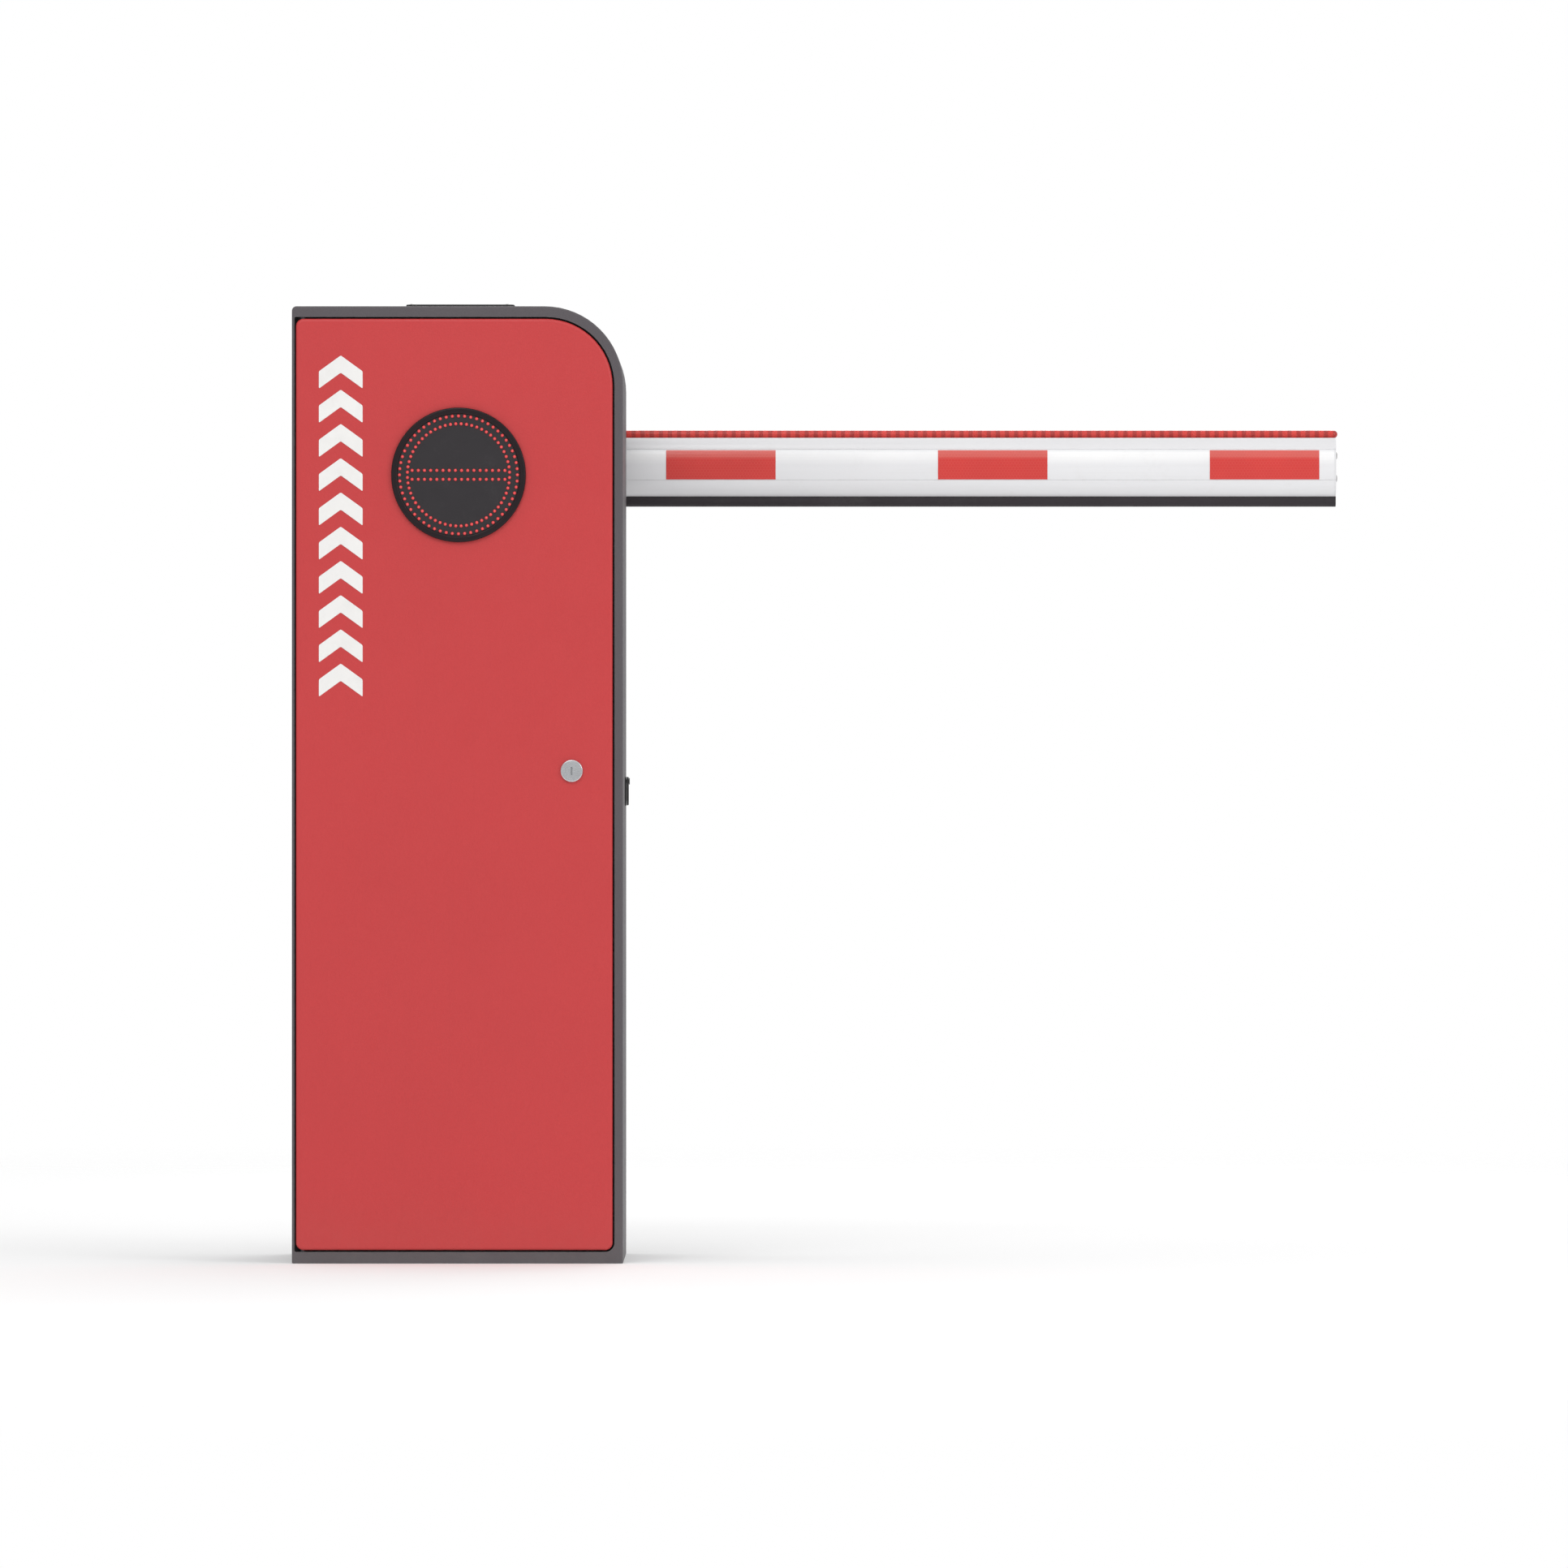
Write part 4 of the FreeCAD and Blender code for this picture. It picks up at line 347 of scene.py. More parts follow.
def reflector():
    """Retroreflective sheet: small honeycomb cells under a clear red film."""
    g = Graph("red_reflective_sheet")
    c = g.co
    x, y, z = g.xyz()
    # honeycomb in the XZ plane: the nearer of two interleaved rectangular grids gives hexagons
    pitch = 3.4 * MM
    px, pz = g.math("DIVIDE", x, pitch), g.math("DIVIDE", z, pitch * 1.7320508)

    def grid(off):
        gx = g.math("SUBTRACT", g.math("FRACT", g.math("ADD", px, off)), 0.5)
        gz = g.math("MULTIPLY", g.math("SUBTRACT", g.math("FRACT", g.math("ADD", pz, off)), 0.5), 1.7320508)
        gx, gz = g.math("ABSOLUTE", gx), g.math("ABSOLUTE", gz)
        r2 = g.math("ADD", g.math("MULTIPLY", gx, gx), g.math("MULTIPLY", gz, gz))
        hexd = g.math("MAXIMUM", gx, g.math("ADD", g.math("MULTIPLY", gx, 0.5), g.math("MULTIPLY", gz, 0.8660254)))
        return r2, hexd

    ra, da = grid(0.0)
    rb, db = grid(0.5)
    near = g.math("LESS_THAN", ra, rb)
    d = g.math("ADD", g.math("MULTIPLY", near, da), g.math("MULTIPLY", g.math("SUBTRACT", 1.0, near), db))
    wall = g.map(d, 0.425, 0.465, 0.0, 1.0)
    base = lin(207, 54, 50)
    col = g.mix(g.map(g.noise(12, 4, 0.6), 0.3, 0.7), scaled(base, 0.94), scaled(base, 1.06))
    col = g.mix(g.math("MULTIPLY", wall, 0.34), col, lin(222, 106, 97))
    # each cell is a touch lighter in its middle
    col = g.mix(g.map(d, 0.0, 0.40, 0.14, 0.0), col, lin(222, 84, 74))
    # the upper facet catches more light
    top = g.map(z, 0.8695, 0.8735, 0.0, 0.24, smooth=True)
    col = g.mix(top, col, lin(226, 150, 138))
    h = g.math("SUBTRACT", 1.0, wall)
    g.set(Base_Color=col, Roughness=g.map(g.noise(80, 4, 0.6), 0.3, 0.7, 0.30, 0.38), Normal=g.bump(h, 0.00004, 0.25))
    g.bsdf.inputs["Specular IOR Level"].default_value = 0.35
    g.bsdf.inputs["Coat Weight"].default_value = 0.3
    g.bsdf.inputs["Coat Roughness"].default_value = 0.10
    return g.mat


def light_tube():
    """Translucent red hose; the lamps inside show as a dashed line."""
    g = Graph("translucent_red_hose")
    x, y, z = g.xyz()
    ph = g.math("FRACT", g.math("MULTIPLY", x, 100.0))
    dash = g.map(g.math("ABSOLUTE", g.math("SUBTRACT", ph, 0.5)), 0.16, 0.30, 1.0, 0.0, smooth=True)
    base = lin(217, 68, 60)
    col = g.mix(g.map(g.noise(18, 4, 0.6), 0.3, 0.7), scaled(base, 0.9), scaled(base, 1.1))
    col = g.mix(g.math("MULTIPLY", dash, 0.55), col, lin(120, 28, 30))
    dirt = g.map(g.noise(60, 6, 0.7), 0.5, 0.8, 0.0, 0.25)
    col = g.mix(dirt, col, lin(150, 70, 62))
    g.set(Base_Color=col, Roughness=g.map(g.noise(90, 3, 0.6), 0.3, 0.7, 0.20, 0.34), Normal=g.bump(g.noise(500, 2, 0.5), 0.00003, 0.5))
    g.bsdf.inputs["Subsurface Weight"].default_value = 0.35
    g.bsdf.inputs["Subsurface Radius"].default_value = (0.004, 0.001, 0.001)
    g.bsdf.inputs["Subsurface Scale"].default_value = 1.0
    g.bsdf.inputs["Transmission Weight"].default_value = 0.12
    g.bsdf.inputs["Emission Color"].default_value = lin(255, 60, 50)
    g.bsdf.inputs["Emission Strength"].default_value = 0.05
    return g.mat


def smoke_face():
    g = Graph("smoked_polycarbonate")
    base = lin(45, 42, 45)
    col = g.mix(g.map(g.noise(9, 4, 0.6), 0.3, 0.7), scaled(base, 0.93), scaled(base, 1.07))
    dust = g.map(g.noise(55, 8, 0.75), 0.56, 0.82, 0.0, 0.20)
    col = g.mix(dust, col, lin(84, 80, 82))
    sc = g.noise(1.0, 2, 0.5, vec=g.scale(30, 30, 2400, rot=(0, 0.5, 0)))
    r = g.math("ADD", g.map(g.noise(60, 5, 0.7), 0.3, 0.7, 0.30, 0.42), g.map(sc, 0.66, 0.8, 0.0, 0.12))
    g.set(Base_Color=col, Roughness=r, Normal=g.bump(g.noise(1500, 2, 0.5), 0.00002, 0.6))
    g.bsdf.inputs["Specular IOR Level"].default_value = 0.3
    g.bsdf.inputs["Coat Weight"].default_value = 0.1
    g.bsdf.inputs["Coat Roughness"].default_value = 0.2
    return g.mat


def led_red():
    g = Graph("red_lamp_dome")
    x, y, z = g.xyz()
    base = lin(222, 66, 68)
    front = g.map(y, -0.1470, -0.1500, 0.0, 1.0)
    col = g.mix(front, lin(26, 74, 46), base)            # green board behind, red domes in front
    col = g.mix(g.map(g.noise(40, 4, 0.6), 0.3, 0.7, 0.0, 0.2), col, lin(180, 44, 48))
    g.set(Base_Color=col, Roughness=g.map(g.noise(700, 2, 0.5), 0.3, 0.7, 0.22, 0.34), Normal=g.bump(g.noise(900, 2, 0.5), 0.00003, 0.5))
    g.bsdf.inputs["Emission Color"].default_value = lin(255, 80, 80)
    g.put(g.bsdf.inputs["Emission Strength"], g.math("MULTIPLY", front, 0.10))
    g.bsdf.inputs["Coat Weight"].default_value = 0.6
    g.bsdf.inputs["Coat Roughness"].default_value = 0.06
    return g.mat


def cable_mat(name, base, stripe=None):
    g = Graph(name)
    b = lin(*base)
    col = g.mix(g.map(g.noise(60, 5, 0.7), 0.3, 0.7), scaled(b, 0.85), scaled(b, 1.15))
    if stripe is not None:
        w = g.node("ShaderNodeTexWave", wave_type="BANDS", bands_direction="DIAGONAL")
        g.link(g.co, w.inputs["Vector"])
        w.inputs["Scale"].default_value = 55.0
        col = g.mix(g.map(w.outputs[0], 0.48, 0.52), col, lin(*stripe))
    h = g.noise(1600, 2, 0.5)
    g.set(Base_Color=col, Roughness=g.map(g.noise(120, 3, 0.6), 0.3, 0.7, 0.38, 0.55), Normal=g.bump(h, 0.00004, 0.6))
    return g.mat


M["boom"] = boom_paint()
M["reflector"] = reflector()
M["hose"] = light_tube()
M["face"] = smoke_face()
M["led"] = led_red()
M["cable_black"] = cable_mat("black_pvc_cable", (36, 36, 38))
M["cable_grey"] = cable_mat("grey_pvc_cable", (142, 144, 146))
M["cable_red"] = cable_mat("red_wire", (190, 40, 36))
M["cable_blue"] = cable_mat("blue_wire", (44, 84, 170))
M["cable_brown"] = cable_mat("brown_wire", (104, 62, 38))
M["cable_white"] = cable_mat("white_wire", (220, 220, 216))
M["cable_earth"] = cable_mat("earth_wire", (62, 140, 62), stripe=(226, 204, 58))
M["tie"] = plastic("natural_nylon_tie", lin(222, 220, 208), rough=0.4, grain=900, wear=0.0)
M["plug"] = plastic("green_plug", lin(46, 132, 84), rough=0.42, grain=1500)
M["nameplate"] = metal("blank_aluminium_plate", lin(206, 207, 208), rough=0.3, brush=(400, 400, 6), brush_amt=0.08, wear=0.3)
M["brass"] = metal("brass", lin(196, 160, 84), rough=0.28, wear=0.3)


def display_glass():
    g = Graph("display_window")
    x, y, z = g.xyz()
    col = g.mix(g.map(g.noise(40, 4, 0.6), 0.3, 0.7), lin(22, 34, 30), lin(28, 42, 36))
    # seven unlit and three lit bars, a plain level scale
    fx = g.math("FRACT", g.math("MULTIPLY", g.math("ADD", x, 0.130), 100.0))
    bar = g.math("MULTIPLY", g.map(fx, 0.2, 0.24), g.map(fx, 0.76, 0.80, 1.0, 0.0))
    inz = g.math("MULTIPLY", g.map(z, 0.3120, 0.3125), g.map(z, 0.3325, 0.3330, 1.0, 0.0))
    lit = g.map(x, -0.0905, -0.0895, 1.0, 0.15)
    f = g.math("MULTIPLY", g.math("MULTIPLY", bar, inz), lit)
    col = g.mix(f, col, lin(120, 220, 150))
    g.set(Base_Color=col, Roughness=0.12, Normal=g.bump(g.noise(300, 2, 0.5), 0.00001, 0.4))
    g.bsdf.inputs["Emission Color"].default_value = lin(110, 230, 150)
    g.put(g.bsdf.inputs["Emission Strength"], g.math("MULTIPLY", f, 0.6))
    g.bsdf.inputs["Coat Weight"].default_value = 1.0
    g.bsdf.inputs["Coat Roughness"].default_value = 0.04
    return g.mat


M["display"] = display_glass()


def lamp(name, base, strength):
    g = Graph(name)
    b = lin(*base)
    col = g.mix(g.map(g.noise(400, 3, 0.5), 0.3, 0.7), scaled(b, 0.85), scaled(b, 1.1))
    g.set(Base_Color=col, Roughness=g.map(g.noise(900, 2, 0.5), 0.3, 0.7, 0.14, 0.24), Normal=g.bump(g.noise(1200, 2, 0.5), 0.00001, 0.4))
    g.bsdf.inputs["Emission Color"].default_value = b
    g.bsdf.inputs["Emission Strength"].default_value = strength
    g.bsdf.inputs["Coat Weight"].default_value = 0.6
    return g.mat


def oil_glass():
    """Sight glass, half full of amber oil."""
    g = Graph("oil_sight_glass")
    x, y, z = g.xyz()
    level = g.math("ADD", z, g.math("MULTIPLY", g.noise(200, 2, 0.5), 0.0004))
    f = g.map(level, 0.6040, 0.6046, 1.0, 0.0)
    col = g.mix(f, lin(196, 194, 184), lin(158, 98, 30))
    g.set(Base_Color=col, Roughness=g.map(g.noise(300, 3, 0.5), 0.3, 0.7, 0.06, 0.14), Normal=g.bump(g.noise(300, 2, 0.5), 0.00001, 0.3))
    g.bsdf.inputs["Coat Weight"].default_value = 1.0
    g.bsdf.inputs["Coat Roughness"].default_value = 0.03
    return g.mat


M["lamp_green"] = lamp("green_status_lamp", (46, 190, 90), 0.5)
M["lamp_red"] = lamp("red_status_lamp", (150, 26, 24), 0.05)
M["oil_glass"] = oil_glass()
M["duct"] = plastic("grey_wiring_duct", lin(176, 180, 182), rough=0.5, grain=1300, var=0.03, wear=0.2)
M["conduit"] = plastic("black_corrugated_conduit", lin(30, 30, 32), rough=0.46, grain=1600, depth=0.00004)

CAD_MATERIAL = {
    "cabinet_shell": "cabinet", "base_plate": "zinc", "door_gasket": "seal", "hinge_brackets": "drive", "antenna_cover": "black_plastic",
    "shaft_seal": "rubber", "drive_rear_plate": "zinc_plate", "drive_front_plate": "zinc_plate", "drive_spacers": "shaft",
    "bearing_housings": "cast", "drive_bolts": "bolt", "spring_anchor_bracket": "zinc_plate", "stop_buffers": "rubber",
    "stop_brackets": "zinc_plate", "balance_springs": "spring", "spring_tension_rods": "bolt", "gearbox_housing": "cast",
    "gearbox_cover": "cast", "gearbox_screws": "bolt", "motor_body": "motor", "release_lock_body": "black_plastic",
    "equipment_plate": "zinc", "controller_case": "case", "din_rail": "bolt", "terminal_blocks": "terminal",
    "circuit_breaker": "case", "power_supply": "zinc",
    "main_shaft": "shaft", "bearing_inner_rings": "gear", "rocker_arm": "arm", "spring_arm": "arm", "boom_hub": "drive",
    "boom_holder": "drive", "boom_clamp_plate": "drive", "boom_clamp_bolts": "bolt", "boom_profile": "boom", "boom_end_caps": "white_cap",
    "boom_light_tube": "hose", "boom_bumper": "bumper", "boom_reflectors": "reflector",
    "output_gear_shaft": "gear", "crank_arm": "arm", "connecting_rod": "drive", "idler_gear": "gear", "motor_rotor": "shaft", "hand_wheel": "wheel",
    "door_panel": "door", "indicator_bezel": "bezel", "indicator_face": "face", "indicator_led_board": "led", "indicator_rear_cover": "black_plastic",
    "door_lock_housing": "lock", "door_lock_plug": "lock", "door_lock_cam": "zinc_plate",
    "release_dust_cover": "black_plastic", "release_lock_plug": "lock",
    "button_open": "green", "button_stop": "redcap", "button_close": "blue", "breaker_toggle": "black_plastic",
}
for n, o in NODES.items():
    m = M[CAD_MATERIAL[n]]
    o.data.materials.clear()
    o.data.materials.append(m)

# rolled and cast edges: CAD pieces that get a small real round on their sharp edges
SOFT_EDGES = {
    "drive_bolts": 0.5, "boom_clamp_bolts": 0.5, "gearbox_screws": 0.3, "boom_clamp_plate": 0.5, "boom_hub": 0.8, "boom_holder": 0.5,
    "drive_rear_plate": 0.5, "drive_front_plate": 0.5, "crank_arm": 0.8, "rocker_arm": 0.8, "spring_arm": 0.8, "connecting_rod": 0.6,
    "bearing_housings": 1.0, "gearbox_cover": 1.0, "hand_wheel": 1.0, "controller_case": 0.4,
    "circuit_breaker": 0.5, "terminal_blocks": 0.3, "drive_spacers": 0.5, "door_lock_cam": 0.4, "breaker_toggle": 0.4,
    "shaft_seal": 0.6, "boom_end_caps": 0.3, "base_plate": 0.3, "spring_anchor_bracket": 0.5, "stop_brackets": 0.5,
    "motor_body": 0.6, "power_supply": 0.3, "stop_buffers": 1.0, "release_lock_body": 0.3, "indicator_rear_cover": 0.6,
}
for n, r in SOFT_EDGES.items():
    o = NODES[n]
    w = o.modifiers.new("weld", "WELD")
    w.merge_threshold = 1e-5
    b = o.modifiers.new("edge_round", "BEVEL")
    b.width = r * MM
    b.segments = 2
    b.limit_method = "ANGLE"
    b.angle_limit = math.radians(40)
    b.use_clamp_overlap = True
    b.harden_normals = False


# ------------------------------------------------------------------ mesh helpers (millimetres in, metres out)
def finish_mesh(name, bm, mat, body, angle=35.0):
    bmesh.ops.recalc_face_normals(bm, faces=bm.faces)
    me = bpy.data.meshes.new(name)
    for v in bm.verts:
        v.co *= MM
    bm.to_mesh(me)
    bm.free()
    me.shade_smooth()
    me.set_sharp_from_angle(angle=math.radians(angle))
    o = bpy.data.objects.new(name, me)
    bpy.context.scene.collection.objects.link(o)
    me.materials.append(mat)
    if body:
        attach(o, body)
    return o


def add_box(bm, lo, hi, r=0.0, segs=2):
    lo, hi = Vector(lo), Vector(hi)
    m = Matrix.Translation((lo + hi) / 2) @ Matrix.Diagonal((*(hi - lo), 1.0))
    g = bmesh.ops.create_cube(bm, size=1.0, matrix=m)
    if r > 0:
        es = {e for v in g["verts"] for e in v.link_edges}
        bmesh.ops.bevel(bm, geom=list(es), offset=r, segments=segs, profile=0.5, affect="EDGES")


def add_lathe(bm, origin, axis, profile, segs=32):
    """profile: (distance along the axis, radius) pairs; closed with end faces where the radius isn't zero."""
    axis = Vector(axis).normalized()
    u = axis.orthogonal().normalized()
    w = axis.cross(u)
    rings = []
    for h, r in profile:
        c = Vector(origin) + axis * h
        if r <= 1e-6:
            rings.append([bm.verts.new(c)])
        else:
            rings.append([bm.verts.new(c + (u * math.cos(2 * math.pi * k / segs) + w * math.sin(2 * math.pi * k / segs)) * r) for k in range(segs)])
    for a, b in zip(rings, rings[1:]):
        if len(a) == 1 and len(b) == 1:
            continue
        for k in range(segs):
            k2 = (k + 1) % segs
            if len(a) == 1:
                bm.faces.new((a[0], b[k2], b[k]))
            elif len(b) == 1:
                bm.faces.new((a[k], a[k2], b[0]))
            else:
                bm.faces.new((a[k], a[k2], b[k2], b[k]))
    for ring in (rings[0], rings[-1]):
        if len(ring) > 1:
            bm.faces.new(ring)


def smooth_path(pts, step=4.0):
    pts = [Vector(p) for p in pts]
    if len(pts) == 2:
        n = max(2, int((pts[1] - pts[0]).length / step))
        return [pts[0].lerp(pts[1], k / n) for k in range(n + 1)]
    out = []
    ext = [pts[0] * 2 - pts[1]] + pts + [pts[-1] * 2 - pts[-2]]
    for i in range(1, len(ext) - 2):
        p0, p1, p2, p3 = ext[i - 1], ext[i], ext[i + 1], ext[i + 2]
        t1 = max(1e-4, (p1 - p0).length ** 0.5)
        t2 = max(1e-4, (p2 - p1).length ** 0.5)
        t3 = max(1e-4, (p3 - p2).length ** 0.5)
        m1 = (p2 - p1) + t2 * ((p1 - p0) / t1 - (p2 - p0) / (t1 + t2))
        m2 = (p2 - p1) + t2 * ((p3 - p2) / t3 - (p3 - p1) / (t2 + t3))
        n = max(2, int((p2 - p1).length / step))
        for k in range(n):
            t = k / n
            a = 2 * t ** 3 - 3 * t ** 2 + 1
            b = t ** 3 - 2 * t ** 2 + t
            c = -2 * t ** 3 + 3 * t ** 2
            d = t ** 3 - t ** 2
            out.append(p1 * a + m1 * b + p2 * c + m2 * d)
    out.append(pts[-1])
    return out


def add_tube(bm, pts, r, segs=10, corrugated=0.0, step=4.0, closed=False):
    """Sweeps a circle along points that are already a smooth path."""
    n = len(pts)
    tang = []
    for k in range(n):
        if closed:
            t = pts[(k + 1) % n] - pts[k - 1]
        else:
            t = pts[min(n - 1, k + 1)] - pts[max(0, k - 1)]
        tang.append(t.normalized())
    u = tang[0].orthogonal().normalized()
    rings = []
    for k in range(n):
        t = tang[k]
        u = (u - t * u.dot(t)).normalized()
        w = t.cross(u)
        rr = r * (1 + corrugated * (1 if k % 2 else -1)) if corrugated else r
        rings.append([bm.verts.new(pts[k] + (u * math.cos(2 * math.pi * j / segs) + w * math.sin(2 * math.pi * j / segs)) * rr) for j in range(segs)])
    m = n if closed else n - 1
    for k in range(m):
        a, b = rings[k], rings[(k + 1) % n]
        off = 0
        if closed and k == n - 1:
            off = min(range(segs), key=lambda s: (a[0].co - b[s].co).length)
        for j in range(segs):
            j2 = (j + 1) % segs
            bm.faces.new((a[j], a[j2], b[(j2 + off) % segs], b[(j + off) % segs]))
    if not closed:
        bm.faces.new(rings[0])
        bm.faces.new(rings[-1])


def cable(name, pts, r, mat, body, segs=10, step=4.0, corrugated=0.0):
    bm = bmesh.new()
    add_tube(bm, smooth_path(pts, step), r, segs, corrugated)
    return finish_mesh(name, bm, mat, body, angle=60)


def add_hex(bm, origin, axis, af, h, chamfer=0.6, turn=0.0):
    """Hexagon head with a chamfered top."""
    axis = Vector(axis).normalized()
    u = axis.orthogonal().normalized()
    w = axis.cross(u)
    R = af / math.sqrt(3)
    def ring(r, d):
        return [bm.verts.new(Vector(origin) + axis * d + (u * math.cos(math.radians(60 * k + turn)) + w * math.sin(math.radians(60 * k + turn))) * r) for k in range(6)]
    a, b, c = ring(R, 0), ring(R, h - chamfer * 0.6), ring(R - chamfer, h)
    for p, q in ((a, b), (b, c)):
        for k in range(6):
            bm.faces.new((p[k], p[(k + 1) % 6], q[(k + 1) % 6], q[k]))
    bm.faces.new(a)
    bm.faces.new(c)


# ------------------------------------------------------------------ outside: chevrons, lamp string, screws
def chevrons():
    bm = bmesh.new()
    n, x0, x1, zt = 10, -148.4, -101.5, 973.1
    pitch, rise, band = 36.7, 17.0, 18.5
    xm = (x0 + x1) / 2
    y = -148.0
    for k in range(n):
        z = zt - rise - k * pitch
        pts = [(x0, z), (xm, z + rise), (x1, z), (x1, z - band), (xm, z + rise - band), (x0, z - band)]
        # corners cut to a small radius
        ring = []
        m = len(pts)
        for i in range(m):
            p = Vector((*pts[i], 0)); a = Vector((*pts[i - 1], 0)); b = Vector((*pts[(i + 1) % m], 0))
            ua, ub = (a - p).normalized(), (b - p).normalized()
            r = 1.4
            pa, pb = p + ua * r, p + ub * r
            for t in (0.0, 0.33, 0.67, 1.0):
                q = pa.lerp(p, t).lerp(p.lerp(pb, t), t)
                ring.append((q.x, q.y))
        back = [bm.verts.new((px, y - 0.02, pz)) for px, pz in ring]
        front = [bm.verts.new((px, y - 0.16, pz)) for px, pz in ring]
        bm.faces.new(back)
        bm.faces.new(front)
        L = len(ring)
        for i in range(L):
            bm.faces.new((back[i], back[(i + 1) % L], front[(i + 1) % L], front[i]))
    bmesh.ops.triangulate(bm, faces=[f for f in bm.faces if len(f.verts) > 4])
    return finish_mesh("door_chevron_decals", bm, M["decal"], "door", angle=30)


chevrons()


def lamp_string():
    """Flexible strip with lamps, inside the hose."""
    y, z = 191.5, 897.6
    bm = bmesh.new()
    add_box(bm, (160, y - 2.0, z - 1.6), (951, y + 2.0, z - 1.2))
    strip = finish_mesh("boom_lamp_strip", bm, M["white_cap"], "boom")
    bm = bmesh.new()
    for k in range(79):
        x = 163.0 + 10.0 * k
        add_box(bm, (x - 1.9, y - 1.4, z - 1.2), (x + 1.9, y + 1.4, z + 0.2), 0.3, 1)
    lamps = finish_mesh("boom_lamp_packages", bm, M["led"], "boom")
    return strip, lamps


lamp_string()


def pan_screw(bm, origin, axis, r, h, segs=24):
    """Pan head with a raised rim round a sunk round recess."""
    add_lathe(bm, origin, axis, [(0, r), (h * 0.35, r), (h * 0.7, r * 0.86), (h * 0.92, r * 0.62), (h * 0.92, r * 0.42), (h * 0.35, r * 0.30), (h * 0.35, 0.0)], segs)


bm = bmesh.new()
for x, ax in ((955.6, (1, 0, 0)), (-112.0, (-1, 0, 0))):
    for z in (874.0, 849.0):
        pan_screw(bm, (x, 191.5, z), ax, 4.2, 2.0)
finish_mesh("boom_cap_screws", bm, M["bolt"], "boom")


def springs():
    """Close-wound extension springs with proper end loops."""
    out = []
    for i, y in enumerate((14.0, 58.0)):
        top, bot = Vector((-55.0, y, 860.0)), Vector((-40.0, y, 545.0))
        L = (top - bot).length
        ax = (top - bot).normalized()
        u = Vector((ax.z, 0, -ax.x)).normalized()
        w = Vector((0, 1, 0))
        def P(a, b, h):
            return bot + u * a + w * b + ax * h
        pts = []
        # lower loop: nearly a full ring in the plane of u and the axis
        R = 9.6
        for k in range(0, 27):
            t = math.radians(-60 + 330 * k / 26.0 - 90 + 60)
            t = math.radians(70 - 320 * (1 - k / 26.0))
            pts.append(P(R * math.cos(t), 0, R * math.sin(t)))
        # rise into the coil
        z0, z1, r, turns = 24.0, L - 24.0, 11.0, 34
        a_end = pts[-1]
        first = P(r, 0, z0)
        for k in range(1, 8):
            s = k / 8.0
            q = a_end.lerp(first, s) + u * (2.0 * math.sin(math.pi * s))
            pts.append(q)
        steps = turns * 20
        for k in range(steps + 1):
            t = 2 * math.pi * turns * k / steps
            pts.append(P(r * math.cos(t), r * math.sin(t), z0 + (z1 - z0) * k / steps))
        last = pts[-1]
        # the upper loop is wider, so that it stays clear of its pin when the spring shortens
        R = 12.4
        t0 = math.radians(-70)
        start = P(R * math.cos(t0), 0, L + R * math.sin(t0))
        for k in range(1, 8):
            s = k / 8.0
            pts.append(last.lerp(start, s) + u * (2.0 * math.sin(math.pi * s)))
        for k in range(0, 27):
            t = math.radians(-70 + 320 * k / 26.0)
            pts.append(P(R * math.cos(t), 0, L + R * math.sin(t)))
        bm = bmesh.new()
        add_tube(bm, pts, 1.8, 8)
        o = finish_mesh("balance_spring_%d" % (i + 1), bm, M["spring"], "cabinet", angle=70)
        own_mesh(o)
        out.append(o)
    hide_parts("balance_springs")
    return out


springs()

# ------------------------------------------------------------------ more mesh helpers
def rounded(pts, r, n=3):
    """Corners of a closed 2-D outline cut to small arcs."""
    out = []
    m = len(pts)
    for i in range(m):
        p, a, b = Vector((*pts[i], 0)), Vector((*pts[i - 1], 0)), Vector((*pts[(i + 1) % m], 0))
        ra = min(r, (a - p).length * 0.45)
        rb = min(r, (b - p).length * 0.45)
        pa, pb = p + (a - p).normalized() * ra, p + (b - p).normalized() * rb
        for k in range(n + 1):
            t = k / n
            q = pa.lerp(p, t).lerp(p.lerp(pb, t), t)
            out.append((q.x, q.y))
    return out


def add_prism(bm, pts, plane, d0, d1, chamfer=0.0):
    """Closed outline pushed along an axis. plane 'y' takes (x, z) pairs, 'x' takes (y, z), 'z' takes (x, y). The d0 side gets the chamfer."""
    def P(u, v, d):
        return {"y": (u, d, v), "x": (d, u, v), "z": (u, v, d)}[plane]
    def ring(d, inset):
        if not inset:
            return [bm.verts.new(P(u, v, d)) for u, v in pts]
        out = []
        m = len(pts)
        area = sum(pts[i - 1][0] * pts[i][1] - pts[i][0] * pts[i - 1][1] for i in range(m))
        s = 1 if area > 0 else -1
        for i in range(m):
            a, b = Vector(pts[i - 1]), Vector(pts[(i + 1) % m])
            t = (b - a)
            t = Vector((-t.y, t.x)).normalized() * inset * s
            out.append(bm.verts.new(P(pts[i][0] + t.x, pts[i][1] + t.y, d)))
        return out
    s = 1 if d1 > d0 else -1
    rings = [ring(d0, chamfer), ring(d0 + s * chamfer, 0), ring(d1, 0)] if chamfer else [ring(d0, 0), ring(d1, 0)]
    for a, b in zip(rings, rings[1:]):
        for k in range(len(pts)):
            k2 = (k + 1) % len(pts)
            bm.faces.new((a[k], a[k2], b[k2], b[k]))
    fs = [bm.faces.new(rings[0]), bm.faces.new(rings[-1])]
    bmesh.ops.triangulate(bm, faces=[f for f in fs if len(f.verts) > 4])


